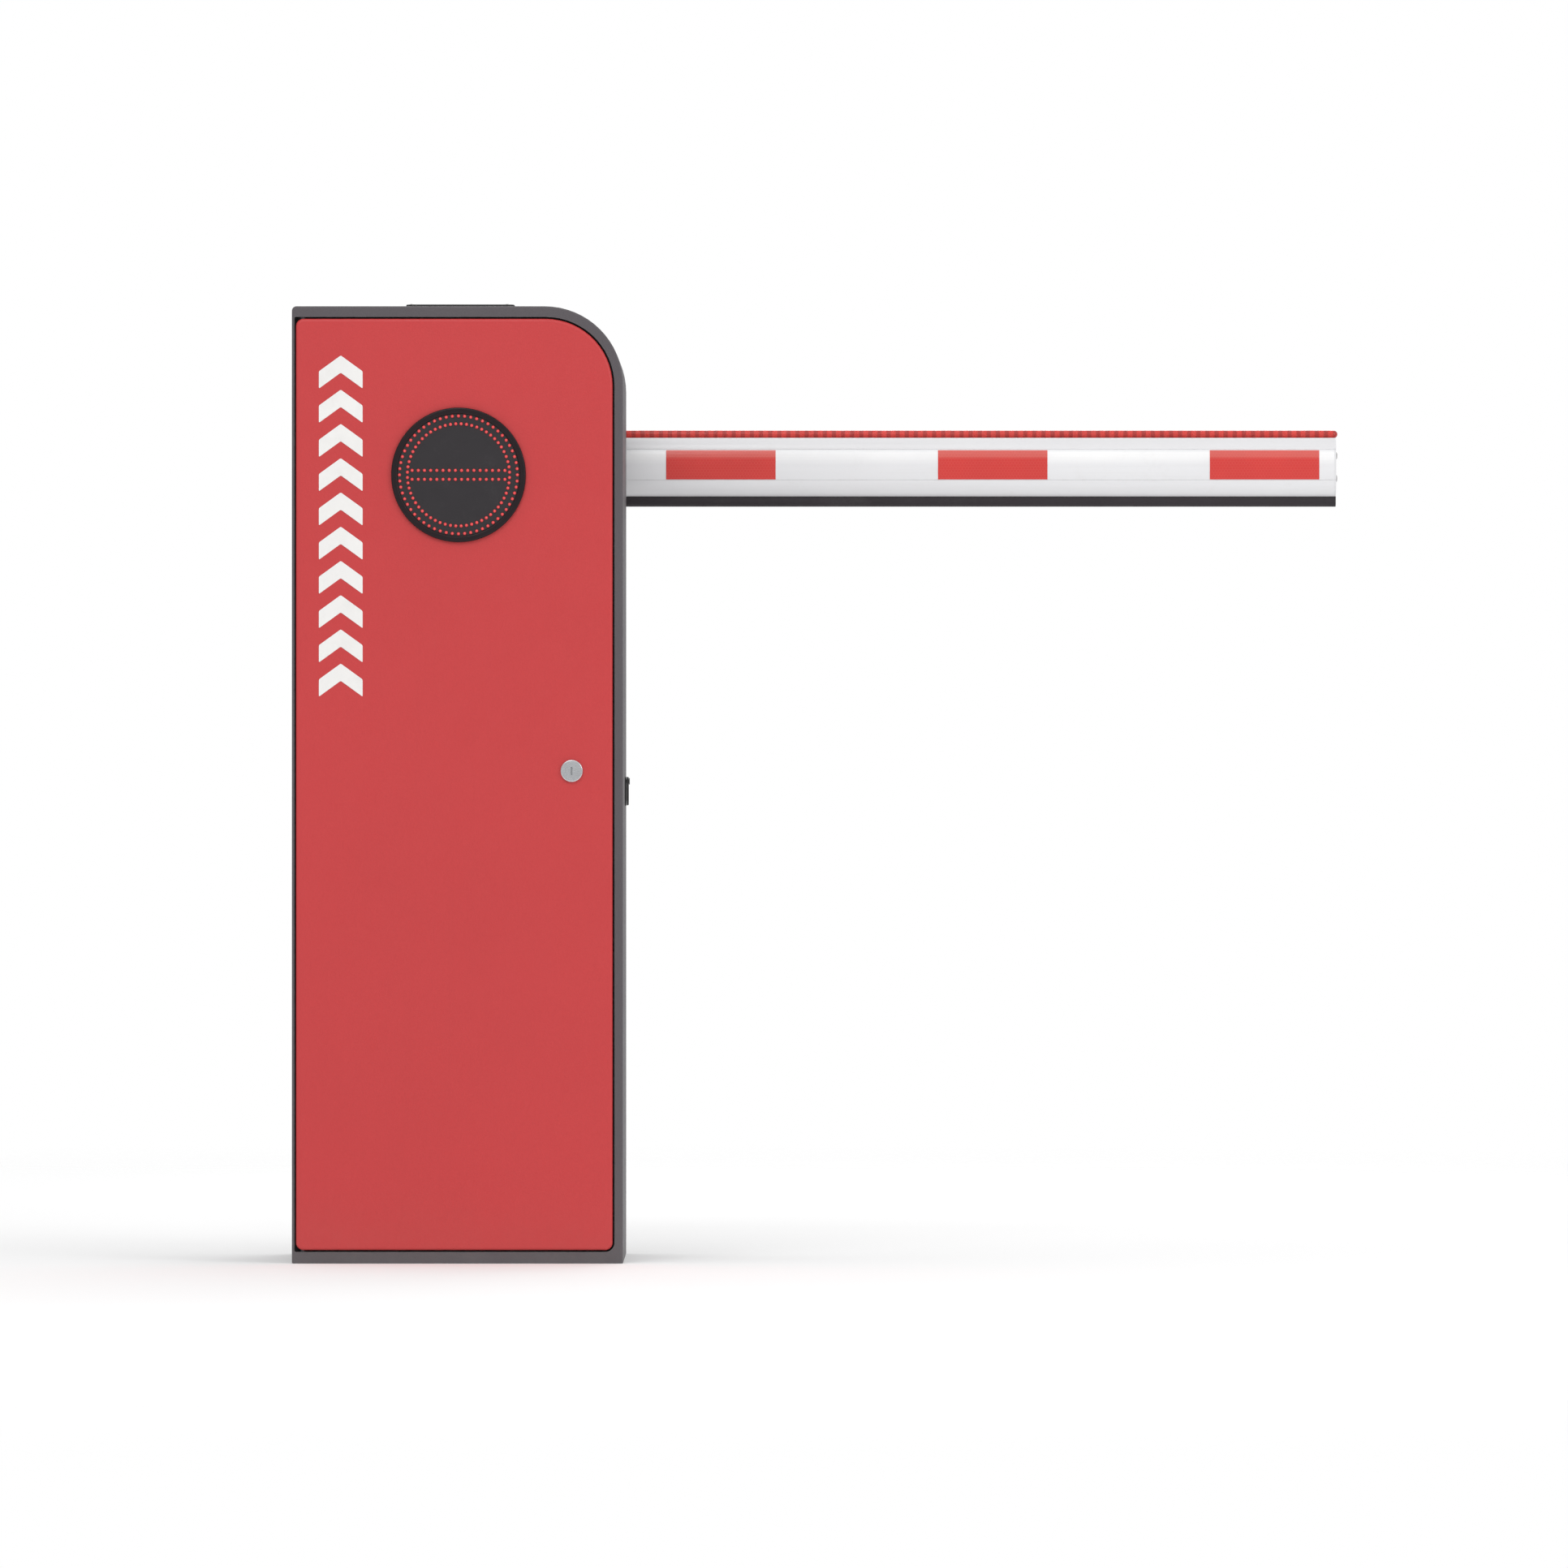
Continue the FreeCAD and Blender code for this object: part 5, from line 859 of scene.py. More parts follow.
def add_ring(bm, origin, axis, r0, r1, h, segs=32, gap=0.0, c=0.0):
    """Flat ring of width r0 to r1 and thickness h along the axis; gap in degrees leaves it open, as a circlip is."""
    axis = Vector(axis).normalized()
    u = axis.orthogonal().normalized()
    w = axis.cross(u)
    sect = [(r0, 0), (r1 - c, 0), (r1, c), (r1, h - c), (r1 - c, h), (r0, h)] if c else [(r0, 0), (r1, 0), (r1, h), (r0, h)]
    full = gap <= 0
    n = segs
    rings = []
    for k in range(n if full else n + 1):
        a = 2 * math.pi * k / n if full else math.radians(gap / 2 + (360 - gap) * k / n)
        d = u * math.cos(a) + w * math.sin(a)
        rings.append([bm.verts.new(Vector(origin) + axis * hh + d * r) for r, hh in sect])
    m = len(sect)
    for k in range(n):
        a, b = rings[k], rings[(k + 1) % len(rings)]
        for j in range(m):
            j2 = (j + 1) % m
            bm.faces.new((a[j], a[j2], b[j2], b[j]))
    if not full:
        bm.faces.new(rings[0])
        bm.faces.new(rings[-1])


def frames_along(pts):
    tang = [(pts[min(len(pts) - 1, k + 1)] - pts[max(0, k - 1)]).normalized() for k in range(len(pts))]
    u = tang[0].orthogonal().normalized()
    out = []
    for t in tang:
        u = (u - t * u.dot(t)).normalized()
        out.append((t, u, t.cross(u)))
    return out


def bundle(name, pts, spots, r, body, twist=0.0, step=6.0, segs=7):
    """Wires laid side by side along one path. spots: (offset u, offset v, material) for each wire; one object per colour."""
    path = smooth_path(pts, step)
    fr = frames_along(path)
    groups = {}
    for a, b, mat in spots:
        bm = groups.setdefault(mat, bmesh.new())
        line = []
        for k, (p, (t, u, w)) in enumerate(zip(path, fr)):
            th = twist * k
            ca, sa = math.cos(th), math.sin(th)
            line.append(p + u * (a * ca - b * sa) + w * (a * sa + b * ca))
        add_tube(bm, line, r, segs)
    return [finish_mesh("%s_%s" % (name, mat.replace("cable_", "")), bm, M[mat], body, angle=70) for mat, bm in groups.items()]


def cable_tie(bm, p, t, r, w=2.4, head=True):
    """A band round a bundle with its square head."""
    t = Vector(t).normalized()
    add_ring(bm, Vector(p) - t * (w / 2), t, r, r + 0.9, w, 20)
    if head:
        u = t.orthogonal().normalized()
        c = Vector(p) + u * (r + 1.8)
        m = Matrix.Translation(c) @ Matrix((( *t, ), ( *u, ), ( *t.cross(u), ))).transposed().to_4x4() @ Matrix.Diagonal((4.2, 3.0, 4.6, 1.0))
        g = bmesh.ops.create_cube(bm, size=1.0, matrix=m)
        bmesh.ops.bevel(bm, geom=list({e for v in g["verts"] for e in v.link_edges}), offset=0.4, segments=1, affect="EDGES")


def hex_nut(bm, origin, axis, af, h, turn=0.0, washer=0.0):
    axis = Vector(axis).normalized()
    o = Vector(origin)
    if washer:
        add_ring(bm, o, axis, af * 0.30, washer, 1.2, 28, c=0.2)
        o = o + axis * 1.2
    add_hex(bm, o, axis, af, h, 0.8, turn)


def socket_screw(bm, origin, axis, r, h, af):
    """Round head with a hexagon socket."""
    axis = Vector(axis).normalized()
    u = axis.orthogonal().normalized()
    w = axis.cross(u)
    o = Vector(origin)
    n = 24
    def ring(rad, d, hexa=False):
        out = []
        for k in range(n):
            a = 2 * math.pi * k / n
            rr = rad
            if hexa:
                b = (math.degrees(a) % 60) - 30
                rr = rad / math.cos(math.radians(b))
            out.append(bm.verts.new(o + axis * d + (u * math.cos(a) + w * math.sin(a)) * rr))
        return out
    rings = [ring(r, 0), ring(r, h - 0.4), ring(r - 0.4, h), ring(af / 2, h, True), ring(af / 2, h * 0.4, True)]
    for a, b in zip(rings, rings[1:]):
        for k in range(n):
            bm.faces.new((a[k], a[(k + 1) % n], b[(k + 1) % n], b[k]))
    bm.faces.new(rings[0])
    bm.faces.new(rings[-1])


def slot_screw(bm, origin, axis, r, h, slot_dir, slot_w=0.9, depth=0.8):
    """Cheese head with a real cut across it."""
    axis = Vector(axis).normalized()
    s = Vector(slot_dir).normalized()
    q = axis.cross(s)
    o = Vector(origin)
    n = 20
    half = slot_w / 2
    # the head is two D shapes standing on a disc
    add_lathe(bm, o, axis, [(0, r), (h - depth, r)], 24)
    for sign in (1, -1):
        a0 = math.asin(min(0.99, half / r))
        pts = [q * (sign * r * math.sin(a0 + (math.pi - 2 * a0) * k / n)) + s * (r * math.cos(a0 + (math.pi - 2 * a0) * k / n)) for k in range(n + 1)]
        base = [bm.verts.new(o + axis * (h - depth) + p) for p in pts]
        mid = [bm.verts.new(o + axis * (h - 0.3) + p) for p in pts]
        top = [bm.verts.new(o + axis * h + p * (1 - 0.3 / r)) for p in pts]
        for a, b in ((base, mid), (mid, top)):
            for k in range(n + 1):
                k2 = (k + 1) % (n + 1)
                bm.faces.new((a[k], a[k2], b[k2], b[k]))
        bm.faces.new(base)
        bm.faces.new(top)


# ------------------------------------------------------------------ outside: rear wall, top cover, boom ends
def vent_screen():
    """Woven insect screen clamped behind the louvres."""
    bm = bmesh.new()
    y = 145.2
    x0, x1, z0, z1 = -66.0, 66.0, 294.0, 392.0
    n = 0
    z = z0
    while z <= z1:
        pts = [Vector((x0 + k * 2.0, y + 0.22 * (1 if (k + n) % 2 else -1), z)) for k in range(67)]
        add_tube(bm, pts, 0.20, 4)
        z += 2.0
        n += 1
    n = 0
    x = x0 + 1.0
    while x <= x1:
        pts = [Vector((x, y, z0 + k * 2.0)) for k in range(50)]
        add_tube(bm, [pts[0], pts[-1]], 0.20, 4)
        x += 2.0
    finish_mesh("vent_insect_screen", bm, M["zinc_plate"], "cabinet")
    # clamping frame, spot welded round the screen
    bm = bmesh.new()
    add_box(bm, (x0 - 6, 143.4, z0 - 6), (x1 + 6, 144.4, z0 + 2), 0.2, 1)
    add_box(bm, (x0 - 6, 143.4, z1 - 2), (x1 + 6, 144.4, z1 + 6), 0.2, 1)
    add_box(bm, (x0 - 6, 143.4, z0 + 2), (x0 + 2, 144.4, z1 - 2), 0.2, 1)
    add_box(bm, (x1 - 2, 143.4, z0 + 2), (x1 + 6, 144.4, z1 - 2), 0.2, 1)
    finish_mesh("vent_screen_frame", bm, M["zinc_plate"], "cabinet")


def rating_plate(name, x0, x1, z0, z1, y, s, body, rivets=True):
    """Blank aluminium plate with an embossed rim. s is the side it faces: -1 front, 1 rear."""
    bm = bmesh.new()
    out = rounded([(x0, z0), (x1, z0), (x1, z1), (x0, z1)], 2.0)
    add_prism(bm, out, "y", y + s * 0.7, y + s * 0.05, 0.15)
    t = 2.2
    for a, b, c, d in ((x0 + t, x1 - t, z0 + t, z0 + t + 0.7), (x0 + t, x1 - t, z1 - t - 0.7, z1 - t),
                       (x0 + t, x0 + t + 0.7, z0 + t + 0.7, z1 - t - 0.7), (x1 - t - 0.7, x1 - t, z0 + t + 0.7, z1 - t - 0.7)):
        lo, hi = sorted((y + s * 0.65, y + s * 0.95))
        add_box(bm, (a, lo, c), (b, hi, d), 0.08, 1)
    finish_mesh(name, bm, M["nameplate"], body)
    if rivets:
        bm = bmesh.new()
        for x in (x0 + 4.6, x1 - 4.6):
            for z in (z0 + 4.6, z1 - 4.6):
                add_lathe(bm, (x, y + s * 0.6, z), (0, s, 0), [(0, 1.5), (0.4, 1.45), (0.8, 1.05), (1.0, 0.5), (1.02, 0.0)], 16)
        finish_mesh(name + "_rivets", bm, M["bolt"], body)


def outside():
    vent_screen()
    rating_plate("cabinet_rating_plate", 84, 148, 92, 132, 148.0, 1, "cabinet")
    # countersunk screws of the antenna cover and its thin seal
    bm = bmesh.new()
    for x in (-50.2, 52.8):
        for y in (-65.0, -15.0):
            add_lathe(bm, (x, y, 1030.55), (0, 0, 1), [(0, 2.9), (0.35, 2.85), (0.7, 2.3), (0.85, 1.5), (0.85, 1.0), (0.3, 0.7), (0.3, 0)], 20)
    finish_mesh("antenna_cover_screws", bm, M["bolt"], "cabinet")
    bm = bmesh.new()
    ring = rounded([(-57.9, -72.7), (60.5, -72.7), (60.5, -7.3), (-57.9, -7.3)], 9.0, 8)
    path = [Vector((x, y, 1026.35)) for x, y in ring]
    add_tube(bm, path, 0.55, 8, closed=True)
    finish_mesh("antenna_cover_seal", bm, M["rubber"], "cabinet")
    # lead of the lamp string: end boot, short lead, grommet in the top of the profile
    bm = bmesh.new()
    add_lathe(bm, (163.0, 191.5, 897.6), (-1, 0, 0), [(0, 4.35), (0.6, 4.9), (5.5, 4.9), (7.0, 4.2), (8.0, 2.6), (8.6, 1.9), (8.6, 0)], 24)
    finish_mesh("lamp_hose_boot", bm, M["rubber"], "boom")
    cable("lamp_lead", [(155.5, 191.5, 897.5), (153.6, 191.5, 897.2), (152.6, 191.5, 895.9), (152.4, 191.5, 893.4)], 1.5, M["cable_black"], "boom", 10, 0.8)
    bm = bmesh.new()
    add_ring(bm, (152.4, 191.5, 893.2), (0, 0, 1), 1.5, 2.2, 0.9, 20)
    finish_mesh("lamp_lead_grommet", bm, M["rubber"], "boom")
    # weld bead round the hub where its boss meets the plate
    bm = bmesh.new()
    n = 160
    path = []
    for k in range(n):
        a = 2 * math.pi * k / n
        rr = 30.6 + 0.35 * math.sin(k * 2 * math.pi / 4.0)
        path.append(Vector((rr * math.cos(a), 156.6, 860 + rr * math.sin(a))))
    add_tube(bm, path, 1.35, 8, closed=True)
    finish_mesh("hub_weld_bead", bm, M["drive"], "boom")


outside()


# ------------------------------------------------------------------ drive: circlips, plugs, plates
def drive_details():
    a = math.radians(-30)
    px, pz = 80 + 55 * math.cos(a), 640 + 55 * math.sin(a)
    qx, qz = 55 * math.cos(a), 860 + 55 * math.sin(a)
    for name, x, z, body in (("crank_pin_circlip", px, pz, "crank"), ("rocker_pin_circlip", qx, qz, "boom")):
        bm = bmesh.new()
        add_ring(bm, (x, 59.3, z), (0, 1, 0), 6.3, 9.6, 1.1, 36, gap=26, c=0.15)
        add_lathe(bm, (x, 57.4, z), (0, 1, 0), [(0, 5.6), (0.7, 6.4), (0.95, 6.95), (1.3, 6.95)], 32)
        finish_mesh(name, bm, M["spring"], body)
    bm = bmesh.new()
    for y in (9.2, 62.0):
        add_ring(bm, (-55.0, y, 860.0), (0, 1, 0), 6.3, 9.2, 1.1, 32, gap=26, c=0.15)
    finish_mesh("spring_pin_circlips", bm, M["spring"], "boom")
    # gearbox: sight glass, drain plug, breather on top
    bm = bmesh.new()
    add_lathe(bm, (34.0, -80.0, 604.0), (0, -1, 0), [(0, 10.0), (2.6, 10.0), (3.2, 9.4), (3.2, 6.8), (1.6, 6.6), (1.6, 0)], 36)
    finish_mesh("sight_glass_ring", bm, M["brass"], "cabinet")
    bm = bmesh.new()
    add_lathe(bm, (34.0, -81.5, 604.0), (0, -1, 0), [(0, 6.5), (0.9, 6.4), (1.3, 5.2), (1.4, 0)], 32)
    finish_mesh("sight_glass_lens", bm, M["oil_glass"], "cabinet")
    bm = bmesh.new()
    for x, z in ((34.0, 500.0),):
        add_ring(bm, (x, -80.0, z), (0, -1, 0), 4.0, 8.6, 1.0, 28)
        add_hex(bm, (x, -81.0, z), (0, -1, 0), 13.0, 5.0, 0.8)
    finish_mesh("drain_plug", bm, M["bolt"], "cabinet")
    bm = bmesh.new()
    add_lathe(bm, (80.0, -50.0, 710.5), (0, 0, 1), [(0, 7.0), (3.0, 7.0), (3.0, 5.2), (5.0, 5.2)], 28)
    add_hex(bm, (80.0, -50.0, 715.0), (0, 0, 1), 14.0, 4.0, 0.6)
    add_lathe(bm, (80.0, -50.0, 719.0), (0, 0, 1), [(0, 4.0), (1.6, 4.0), (1.6, 7.4), (6.0, 7.4), (7.2, 6.2), (7.4, 0)], 28)
    finish_mesh("gearbox_breather", bm, M["brass"], "cabinet")
    rating_plate("gearbox_nameplate", 103, 141, 582, 606, -80.0, -1, "cabinet")
    # motor: cable gland under its box, lid screws
    bm = bmesh.new()
    add_hex(bm, (30.0, 48.0, 481.5), (0, 0, -1), 17.0, 4.5, 0.6)
    add_lathe(bm, (30.0, 48.0, 477.0), (0, 0, -1), [(0, 7.6), (4.0, 7.6), (7.5, 6.8), (9.5, 5.2), (9.5, 0)], 28)
    finish_mesh("motor_cable_gland", bm, M["black_plastic"], "cabinet")
    bm = bmesh.new()
    add_box(bm, (15.6, 31.5, 483.0), (17.9, 64.5, 512.0), 0.8, 2)
    finish_mesh("motor_box_lid", bm, M["motor"], "cabinet")
    bm = bmesh.new()
    for y in (35.0, 61.0):
        for z in (486.5, 508.5):
            socket_screw(bm, (15.6, y, z), (-1, 0, 0), 2.4, 1.8, 2.2)
    finish_mesh("motor_box_screws", bm, M["bolt"], "cabinet")
    # a centre mark on the wheel, and the socket screw that holds the spring arm on its shaft
    bm = bmesh.new()
    add_lathe(bm, (80.0, -103.0, 497.5), (0, -1, 0), [(0, 6.6), (0.4, 6.6), (0.4, 3.0), (-0.6, 2.6), (-0.6, 0)], 24)
    finish_mesh("rotor_centre_mark", bm, M["bolt"], "rotor")
    bm = bmesh.new()
    socket_screw(bm, (26.6, 36.0, 860.0 + 0.0), (1, 0, 0), 3.4, 2.0, 3.0)
    finish_mesh("spring_arm_set_screw", bm, M["bolt"], "boom")
    # direction arrow cast on the cover, over the wheel
    bm = bmesh.new()
    R, r0 = 37.0, 33.6
    arc_o, arc_i = [], []
    for k in range(13):
        t = math.radians(128 - 76 * k / 12)
        arc_o.append((80 + R * math.cos(t), 497.5 + R * math.sin(t)))
        arc_i.append((80 + r0 * math.cos(t), 497.5 + r0 * math.sin(t)))
    te = math.radians(52)
    tip = math.radians(38)
    mid = (R + r0) / 2
    head = [(80 + (R + 3.2) * math.cos(te), 497.5 + (R + 3.2) * math.sin(te)), (80 + mid * math.cos(tip), 497.5 + mid * math.sin(tip)),
            (80 + (r0 - 3.2) * math.cos(te), 497.5 + (r0 - 3.2) * math.sin(te))]
    add_prism(bm, arc_o + head + arc_i[::-1], "y", -81.2, -79.95, 0.0)
    finish_mesh("wheel_direction_arrow", bm, M["cast"], "cabinet")


drive_details()


# ------------------------------------------------------------------ electrics
def electrics():
    # display glass, button rings, lamps, case screws
    bm = bmesh.new()
    add_prism(bm, rounded([(-129.4, 300.6), (-30.6, 300.6), (-30.6, 344.4), (-129.4, 344.4)], 2.8, 4), "y", 84.15, 85.15, 0.2)
    finish_mesh("controller_display", bm, M["display"], "cabinet")
    bm = bmesh.new()
    for k in range(3):
        add_ring(bm, (-120.0 + 32 * k, 84.05, 200.0), (0, -1, 0), 9.4, 11.4, 1.5, 40, c=0.5)
    finish_mesh("button_guard_rings", bm, M["bezel"], "cabinet")
    bm = bmesh.new()
    add_prism(bm, rounded([(-124.6, 197.0), (-115.4, 197.0), (-120.0, 204.6)], 0.6), "y", 80.85, 81.05)
    finish_mesh("open_button_mark", bm, M["decal"], "open_button")
    bm = bmesh.new()
    add_prism(bm, rounded([(-91.2, 196.8), (-84.8, 196.8), (-84.8, 203.2), (-91.2, 203.2)], 0.6), "y", 80.85, 81.05)
    finish_mesh("stop_button_mark", bm, M["decal"], "stop_button")
    bm = bmesh.new()
    add_prism(bm, rounded([(-60.6, 203.0), (-51.4, 203.0), (-56.0, 195.4)], 0.6), "y", 80.85, 81.05)
    finish_mesh("close_button_mark", bm, M["decal"], "close_button")
    for name, x, mat in (("lamp_power", -120.0, "lamp_green"), ("lamp_run", -104.0, "lamp_green"), ("lamp_fault", -88.0, "lamp_red")):
        bm = bmesh.new()
        add_lathe(bm, (x, 84.1, 268.0), (0, -1, 0), [(0, 2.4), (0.8, 2.4), (1.6, 2.0), (2.1, 1.1), (2.25, 0)], 20)
        finish_mesh("controller_" + name, bm, M[mat], "cabinet")
    bm = bmesh.new()
    for x in (-145.0, -13.0):
        for z in (157.5, 377.5):
            socket_screw(bm, (x, 84.1, z), (0, -1, 0), 3.2, 1.8, 2.8)
    finish_mesh("controller_case_screws", bm, M["bolt"], "cabinet")
    # cover seam: a thin dark bead round the case
    bm = bmesh.new()
    ring = rounded([(-152.05, 149.95), (-5.95, 149.95), (-5.95, 385.05), (-152.05, 385.05)], 8.0, 6)
    add_tube(bm, [Vector((x, 118.0, z)) for x, z in ring], 0.45, 6, closed=True)
    finish_mesh("controller_case_seal", bm, M["rubber"], "cabinet")
    # raised panel lines under the display: a blank legend field
    bm = bmesh.new()
    for x0, x1, z0, z1 in ((-132, -28, 222, 222.6), (-132, -28, 288, 288.6), (-132, -28, 356, 356.6)):
        add_box(bm, (x0, 83.75, z0), (x1, 84.1, z1), 0.1, 1)
    finish_mesh("controller_legend_lines", bm, M["bezel"], "cabinet")

    # plug-in connectors
    bm, scr = bmesh.new(), bmesh.new()
    for k in range(6):
        xa = -146.0 + 23 * k
        add_box(bm, (xa + 0.4, 98.4, 137.0), (xa + 16.6, 107.6, 153.5), 0.5, 1)
        for j in range(3):
            xs = xa + 3.3 + 5.2 * j
            add_ring(bm, (xs, 98.45, 144.5), (0, -1, 0), 1.7, 2.3, 0.5, 16)
            slot_screw(scr, (xs, 98.4, 144.5), (0, -1, 0), 1.6, 0.45, (1, 0, 0.35), 0.5, 0.35)
    finish_mesh("plug_connectors", bm, M["plug"], "cabinet")
    finish_mesh("plug_connector_screws", scr, M["bolt"], "cabinet")

    # slotted wiring duct over the power supply
    bm = bmesh.new()
    X0, X1, Y0, Y1, Z0, Z1 = 22.0, 156.0, 104.0, 133.8, 280.0, 308.0
    add_box(bm, (X0, Y1 - 1.2, Z0), (X1, Y1, Z1), 0.2, 1)
    for z in (Z0, Z1 - 1.2):
        add_box(bm, (X0, Y1 - 9.0, z), (X1, Y1 - 1.2, z + 1.2))
        x = X0 + 0.6
        while x + 5.2 < X1:
            add_box(bm, (x, Y0 + 1.4, z), (x + 5.2, Y1 - 9.0, z + 1.2), 0.25, 1)
            x += 8.0
    add_box(bm, (X0, Y0, Z0 - 1.0), (X1, Y0 + 1.4, Z1 + 1.0), 0.4, 2)
    add_box(bm, (X0, Y0 + 1.4, Z0 - 1.0), (X1, Y0 + 4.4, Z0 - 0.05), 0.2, 1)
    add_box(bm, (X0, Y0 + 1.4, Z1 + 0.05), (X1, Y0 + 4.4, Z1 + 1.0), 0.2, 1)
    finish_mesh("wiring_duct", bm, M["duct"], "cabinet")

    # terminal blocks: clamp screws, end brackets, marker strip without text
    bm = bmesh.new()
    for k in range(10):
        xc = 78.0 + 7.2 * k + 3.2
        for z in (350.0, 360.0):
            slot_screw(bm, (xc, 86.8, z), (0, -1, 0), 1.75, 1.3, (1, 0, 0.2 + 0.35 * ((k * 7) % 5 - 2)), 0.6, 0.5)
    finish_mesh("terminal_screws", bm, M["bolt"], "cabinet")
    bm = bmesh.new()
    prof = [(126.2, 330), (126.2, 380), (110, 380), (98, 371), (98, 339), (110, 330)]
    for x0 in (72.4, 150.4):
        add_prism(bm, [(y, z) for y, z in prof], "x", x0, x0 + 4.6, 0.3)
    finish_mesh("terminal_end_brackets", bm, M["case"], "cabinet")
    bm = bmesh.new()
    for k in range(10):
        xa = 78.0 + 7.2 * k
        add_box(bm, (xa + 0.7, 83.5, 354.0), (xa + 5.7, 84.05, 356.2), 0.1, 1)
    finish_mesh("terminal_marker_tags", bm, M["white_cap"], "cabinet")

    # breaker: clamp screws above and under, a plain coloured band
    bm = bmesh.new()
    for x in (43.0, 61.0):
        for z, d in ((391.0, 1), (329.0, -1)):
            add_ring(bm, (x, 90.05, z), (0, -1, 0), 3.4, 4.1, 0.35, 24)
            slot_screw(bm, (x, 90.0, z), (0, -1, 0), 3.0, 0.8, (1, 0, 0.5 * d), 0.8, 0.6)
    finish_mesh("breaker_clamp_screws", bm, M["bolt"], "cabinet")
    bm = bmesh.new()
    add_box(bm, (36.0, 71.75, 376.2), (68.0, 72.1, 377.0), 0.08, 1)
    add_box(bm, (36.0, 71.75, 342.9), (68.0, 72.1, 343.5), 0.08, 1)
    finish_mesh("breaker_band", bm, M["blue"], "cabinet")

    # power supply: terminal strip, lamp, rim screws
    bm, scr = bmesh.new(), bmesh.new()
    add_box(bm, (36.0, 99.0, 261.8), (112.0, 119.0, 265.0), 0.4, 1)
    for k in range(8):
        x = 36.0 + 10.86 * k
        add_box(bm, (x - 0.75 + (0.75 if k == 0 else 0), 99.0, 265.0), (x + 0.75 - (0.75 if k == 7 else 0) + (0.6 if k == 0 else 0), 119.0, 271.5), 0.2, 1)
    for k in range(7):
        x = 36.0 + 10.86 * (k + 0.5)
        add_box(scr, (x - 3.8, 103.5, 265.0), (x + 3.8, 114.5, 265.8), 0.15, 1)
        slot_screw(scr, (x, 109.0, 265.8), (0, 0, 1), 3.0, 1.9, (1, 0.3 * (k - 3), 0), 0.8, 0.9)
    finish_mesh("supply_terminal_strip", bm, M["black_plastic"], "cabinet")
    finish_mesh("supply_terminal_screws", scr, M["bolt"], "cabinet")
    bm = bmesh.new()
    add_lathe(bm, (132.0, 96.05, 250.0), (0, -1, 0), [(0, 1.9), (0.7, 1.9), (1.2, 1.3), (1.35, 0)], 16)
    finish_mesh("supply_lamp", bm, M["lamp_green"], "cabinet")
    bm = bmesh.new()
    for x in (31.0, 145.0):
        for z in (166.0, 256.0):
            pan_screw(bm, (x, 96.0, z), (0, -1, 0), 2.6, 1.4, 20)
    finish_mesh("supply_case_screws", bm, M["bolt"], "cabinet")
    # the windings seen through the slots
    bm = bmesh.new()
    add_box(bm, (44, 101.5, 172), (86, 130, 214), 1.5, 2)
    add_box(bm, (96, 103, 176), (140, 128, 200), 1.0, 2)
    for k in range(3):
        add_lathe(bm, (104.0 + 16 * k, 116.0, 206.0), (0, 0, 1), [(0, 6.8), (26, 6.8), (27, 6.0), (27, 0)], 20)
    finish_mesh("supply_inside_parts", bm, M["motor"], "cabinet")

    # equipment plate: hex screws on its four feet, earth studs
    bm = bmesh.new()
    for x in (-140, 140):
        for z in (130, 410):
            add_ring(bm, (x, 134.0, z), (0, -1, 0), 3.0, 7.2, 1.2, 28, c=0.2)
            add_hex(bm, (x, 132.8, z), (0, -1, 0), 10.0, 4.6, 0.7, 12 + x)
    finish_mesh("equipment_plate_screws", bm, M["bolt"], "cabinet")
    bm = bmesh.new()
    for x, y, z, ax in ((104.0, 92.0, 6.0, (0, 0, 1)), (112.0, 134.0, 122.0, (0, -1, 0)), (84.0, 134.0, 122.0, (0, -1, 0))):
        a = Vector(ax)
        o = Vector((x, y, z))
        add_lathe(bm, o, ax, [(0, 5.2), (0.7, 4.4), (1.0, 3.0), (15.0, 3.0), (15.6, 2.4), (15.6, 0)], 20)
        hex_nut(bm, o + a * 1.6, ax, 10.0, 4.6, 10, 6.8)
        hex_nut(bm, o + a * 8.6, ax, 10.0, 4.0, 34, 6.8)
    finish_mesh("earth_studs", bm, M["brass"], "cabinet")


electrics()


